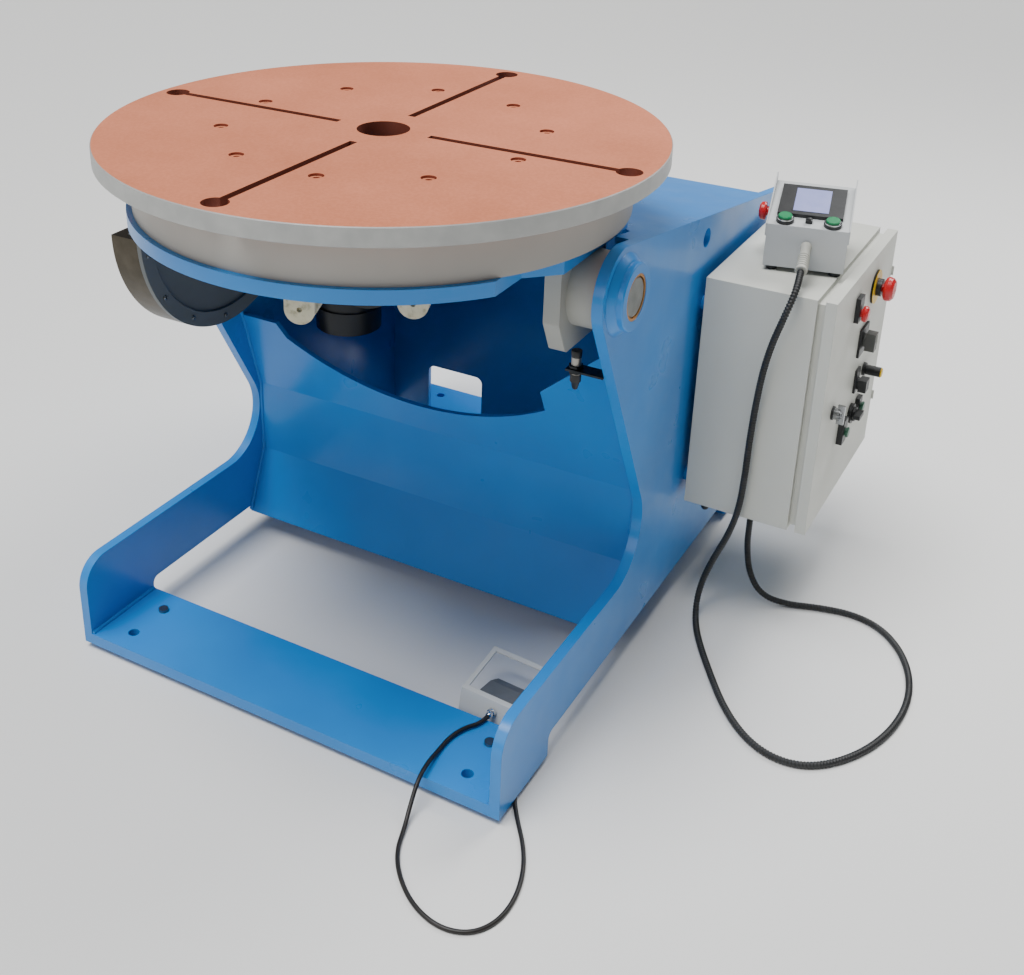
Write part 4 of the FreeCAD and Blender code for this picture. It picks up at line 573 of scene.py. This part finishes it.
def dress_guard():
    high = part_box("gear_guard_disc")[1]
    places = []
    for angle in (-172, -146, -120, -94, -68, -42, -18):
        turn = math.radians(angle)
        places.append(seat((high.x / MM, AXIS_Y + GUARD_SCREW_CIRCLE * math.cos(turn),
                            AXIS_Z + GUARD_SCREW_CIRCLE * math.sin(turn)), (1, 0, 0)))
    turned_pieces("guard_screws", SCREW, places, GEAR, "tilting_head", 20)
    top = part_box("gear_guard_band")[1].z / MM
    turned_pieces("guard_cap_screws", SCREW,
                  [seat((CAP_SCREW_X, y, top), (0, 0, 1)) for y in CAP_SCREW_YS],
                  GEAR, "tilting_head", 20)


def dress_sensor():
    x, y = SENSOR_X, AXIS_Y
    turned_pieces("sensor_faces",
                  [(0, 0.6), (9.3, 0.6), (9.6, 0.0), (9.6, -9), (9.05, -9.4), (9.05, -12)],
                  [seat((x, y, SENSOR_FACE), (0, 0, 1))], BLACK, "base")
    turned_pieces("sensor_nuts",
                  [(9.1, 0), (13.2, 0), (13.8, 0.7), (13.8, 4.3), (13.2, 5), (9.1, 5), (9.1, 0)],
                  [seat((x, y, level), (0, 0, 1)) for level in SENSOR_NUTS],
                  BLACKENED, "base", 6)
    turned_pieces("sensor_plug",
                  [(0, 8), (9.5, 8), (9.8, 7), (9.8, -6), (7.5, -9), (5, -20), (3.2, -22),
                   (0, -22)], [seat((x, y, SENSOR_FOOT), (0, 0, 1))],
                  BLACK, "base")


def dress_trunnions():
    """Bronze thrust rings between each bracket's hub and its side plate."""
    inner, outer, near, far = 60.5, 70, 442.1, 447.2
    ring = [(inner, near), (outer, near), (outer, far), (inner, far), (inner, near)]
    turned_pieces("trunnion_thrust_rings", ring,
                  [seat((0, AXIS_Y, AXIS_Z), (side, 0, 0)) for side in (-1, 1)],
                  BRONZE, "base", 64)


def seam(bm, corners, leg=5.0, pitch=4.5):
    """A fillet weld bead through the given corners, with the ripples that a welder leaves."""
    line = evenly([Vector(corner) * MM for corner in corners], 1.1 * MM)
    tube(bm, line, lambda at: leg * (0.92 + 0.08 * abs(math.sin(math.pi * at / pitch))), 12)


def weld_seams():
    feet, web = bmesh.new(), bmesh.new()
    for side in (-1, 1):
        x = side * SIDE_SEAM_X
        for low, high in ((-650, -470), (470, 650)):
            seam(feet, [(x, low, FOOT_TOP), (x, high, FOOT_TOP)])
        seam(web, [(x, -137, 40), (x, -80, 175), (x, -80, 340), (x, -181, 692)], 4.5)
    piece("foot_plate_welds", feet, BLUE, "base", 60)
    piece("front_web_welds", web, BLUE, "base", 60)


dress_trunnions()
dress_guard()
dress_sensor()
weld_seams()


# ---- stage, light and camera -----------------------------------------------------------

def build_stage():
    mesh = bpy.data.meshes.new("studio_floor")
    reach, level = 30.0, FLOOR_LEVEL * MM
    mesh.from_pydata([(-reach, -reach, level), (reach, -reach, level), (reach, reach, level),
                      (-reach, reach, level)], [], [(0, 1, 2, 3)])
    floor = bpy.data.objects.new("studio_floor", mesh)
    bpy.context.scene.collection.objects.link(floor)
    material, _, surface, _ = new_finish("pale_floor", Roughness=0.75)
    surface.inputs["Base Color"].default_value = linear("#E6E6E4")
    mesh.materials.append(material)
    world = bpy.data.worlds.new("soft_room")
    world.use_nodes = True
    world.node_tree.nodes["Background"].inputs["Color"].default_value = linear("#F4F7FB")
    world.node_tree.nodes["Background"].inputs["Strength"].default_value = 0.17
    bpy.context.scene.world = world


def overhead_light():
    """Even light from a wide lit ceiling, a little to the front left."""
    lamp = bpy.data.lights.new("lit_ceiling", "SUN")
    lamp.energy = 3.7
    lamp.angle = math.radians(38)
    thing = bpy.data.objects.new("lit_ceiling", lamp)
    thing.rotation_euler = Vector((0.16, 0.22, -1)).to_track_quat("-Z", "Y").to_euler()
    bpy.context.scene.collection.objects.link(thing)


def soft_lamp(name, spot, target, size, power):
    lamp = bpy.data.lights.new(name, "AREA")
    lamp.shape = "DISK"
    lamp.size = size
    lamp.energy = power
    thing = bpy.data.objects.new(name, lamp)
    thing.location = spot
    thing.rotation_euler = (Vector(target) - Vector(spot)).to_track_quat("-Z", "Y").to_euler()
    bpy.context.scene.collection.objects.link(thing)


def build_camera():
    """View down from standing height at the front right; the lens shift moves its centre."""
    spot = Vector((1.23147, -2.19636, 1.68721))
    yaw, pitch, roll = math.radians(30.352), math.radians(24.50), math.radians(0.586)
    ahead = Vector((-math.sin(yaw) * math.cos(pitch), math.cos(yaw) * math.cos(pitch),
                    -math.sin(pitch)))
    level = Vector((math.cos(yaw), math.sin(yaw), 0))
    upward = level.cross(ahead)
    right = level * math.cos(roll) + upward * math.sin(roll)
    top = upward * math.cos(roll) - level * math.sin(roll)
    data = bpy.data.cameras.new("view")
    data.sensor_width = 36
    data.lens = 47.37
    data.shift_x = 0.0782
    data.shift_y = -0.1532
    camera = bpy.data.objects.new("view", data)
    turn = Matrix((right, top, -ahead)).transposed().to_4x4()
    camera.matrix_world = Matrix.Translation(spot) @ turn
    bpy.context.scene.collection.objects.link(camera)
    bpy.context.scene.camera = camera


build_stage()
overhead_light()
soft_lamp("rear_window", (1.2, 2.6, 3.4), (0, 0, 0.8), 1.8, 100)
soft_lamp("front_fill", (-0.8, -3.6, 2.2), (0, 0, 0.6), 2.2, 26)
build_camera()
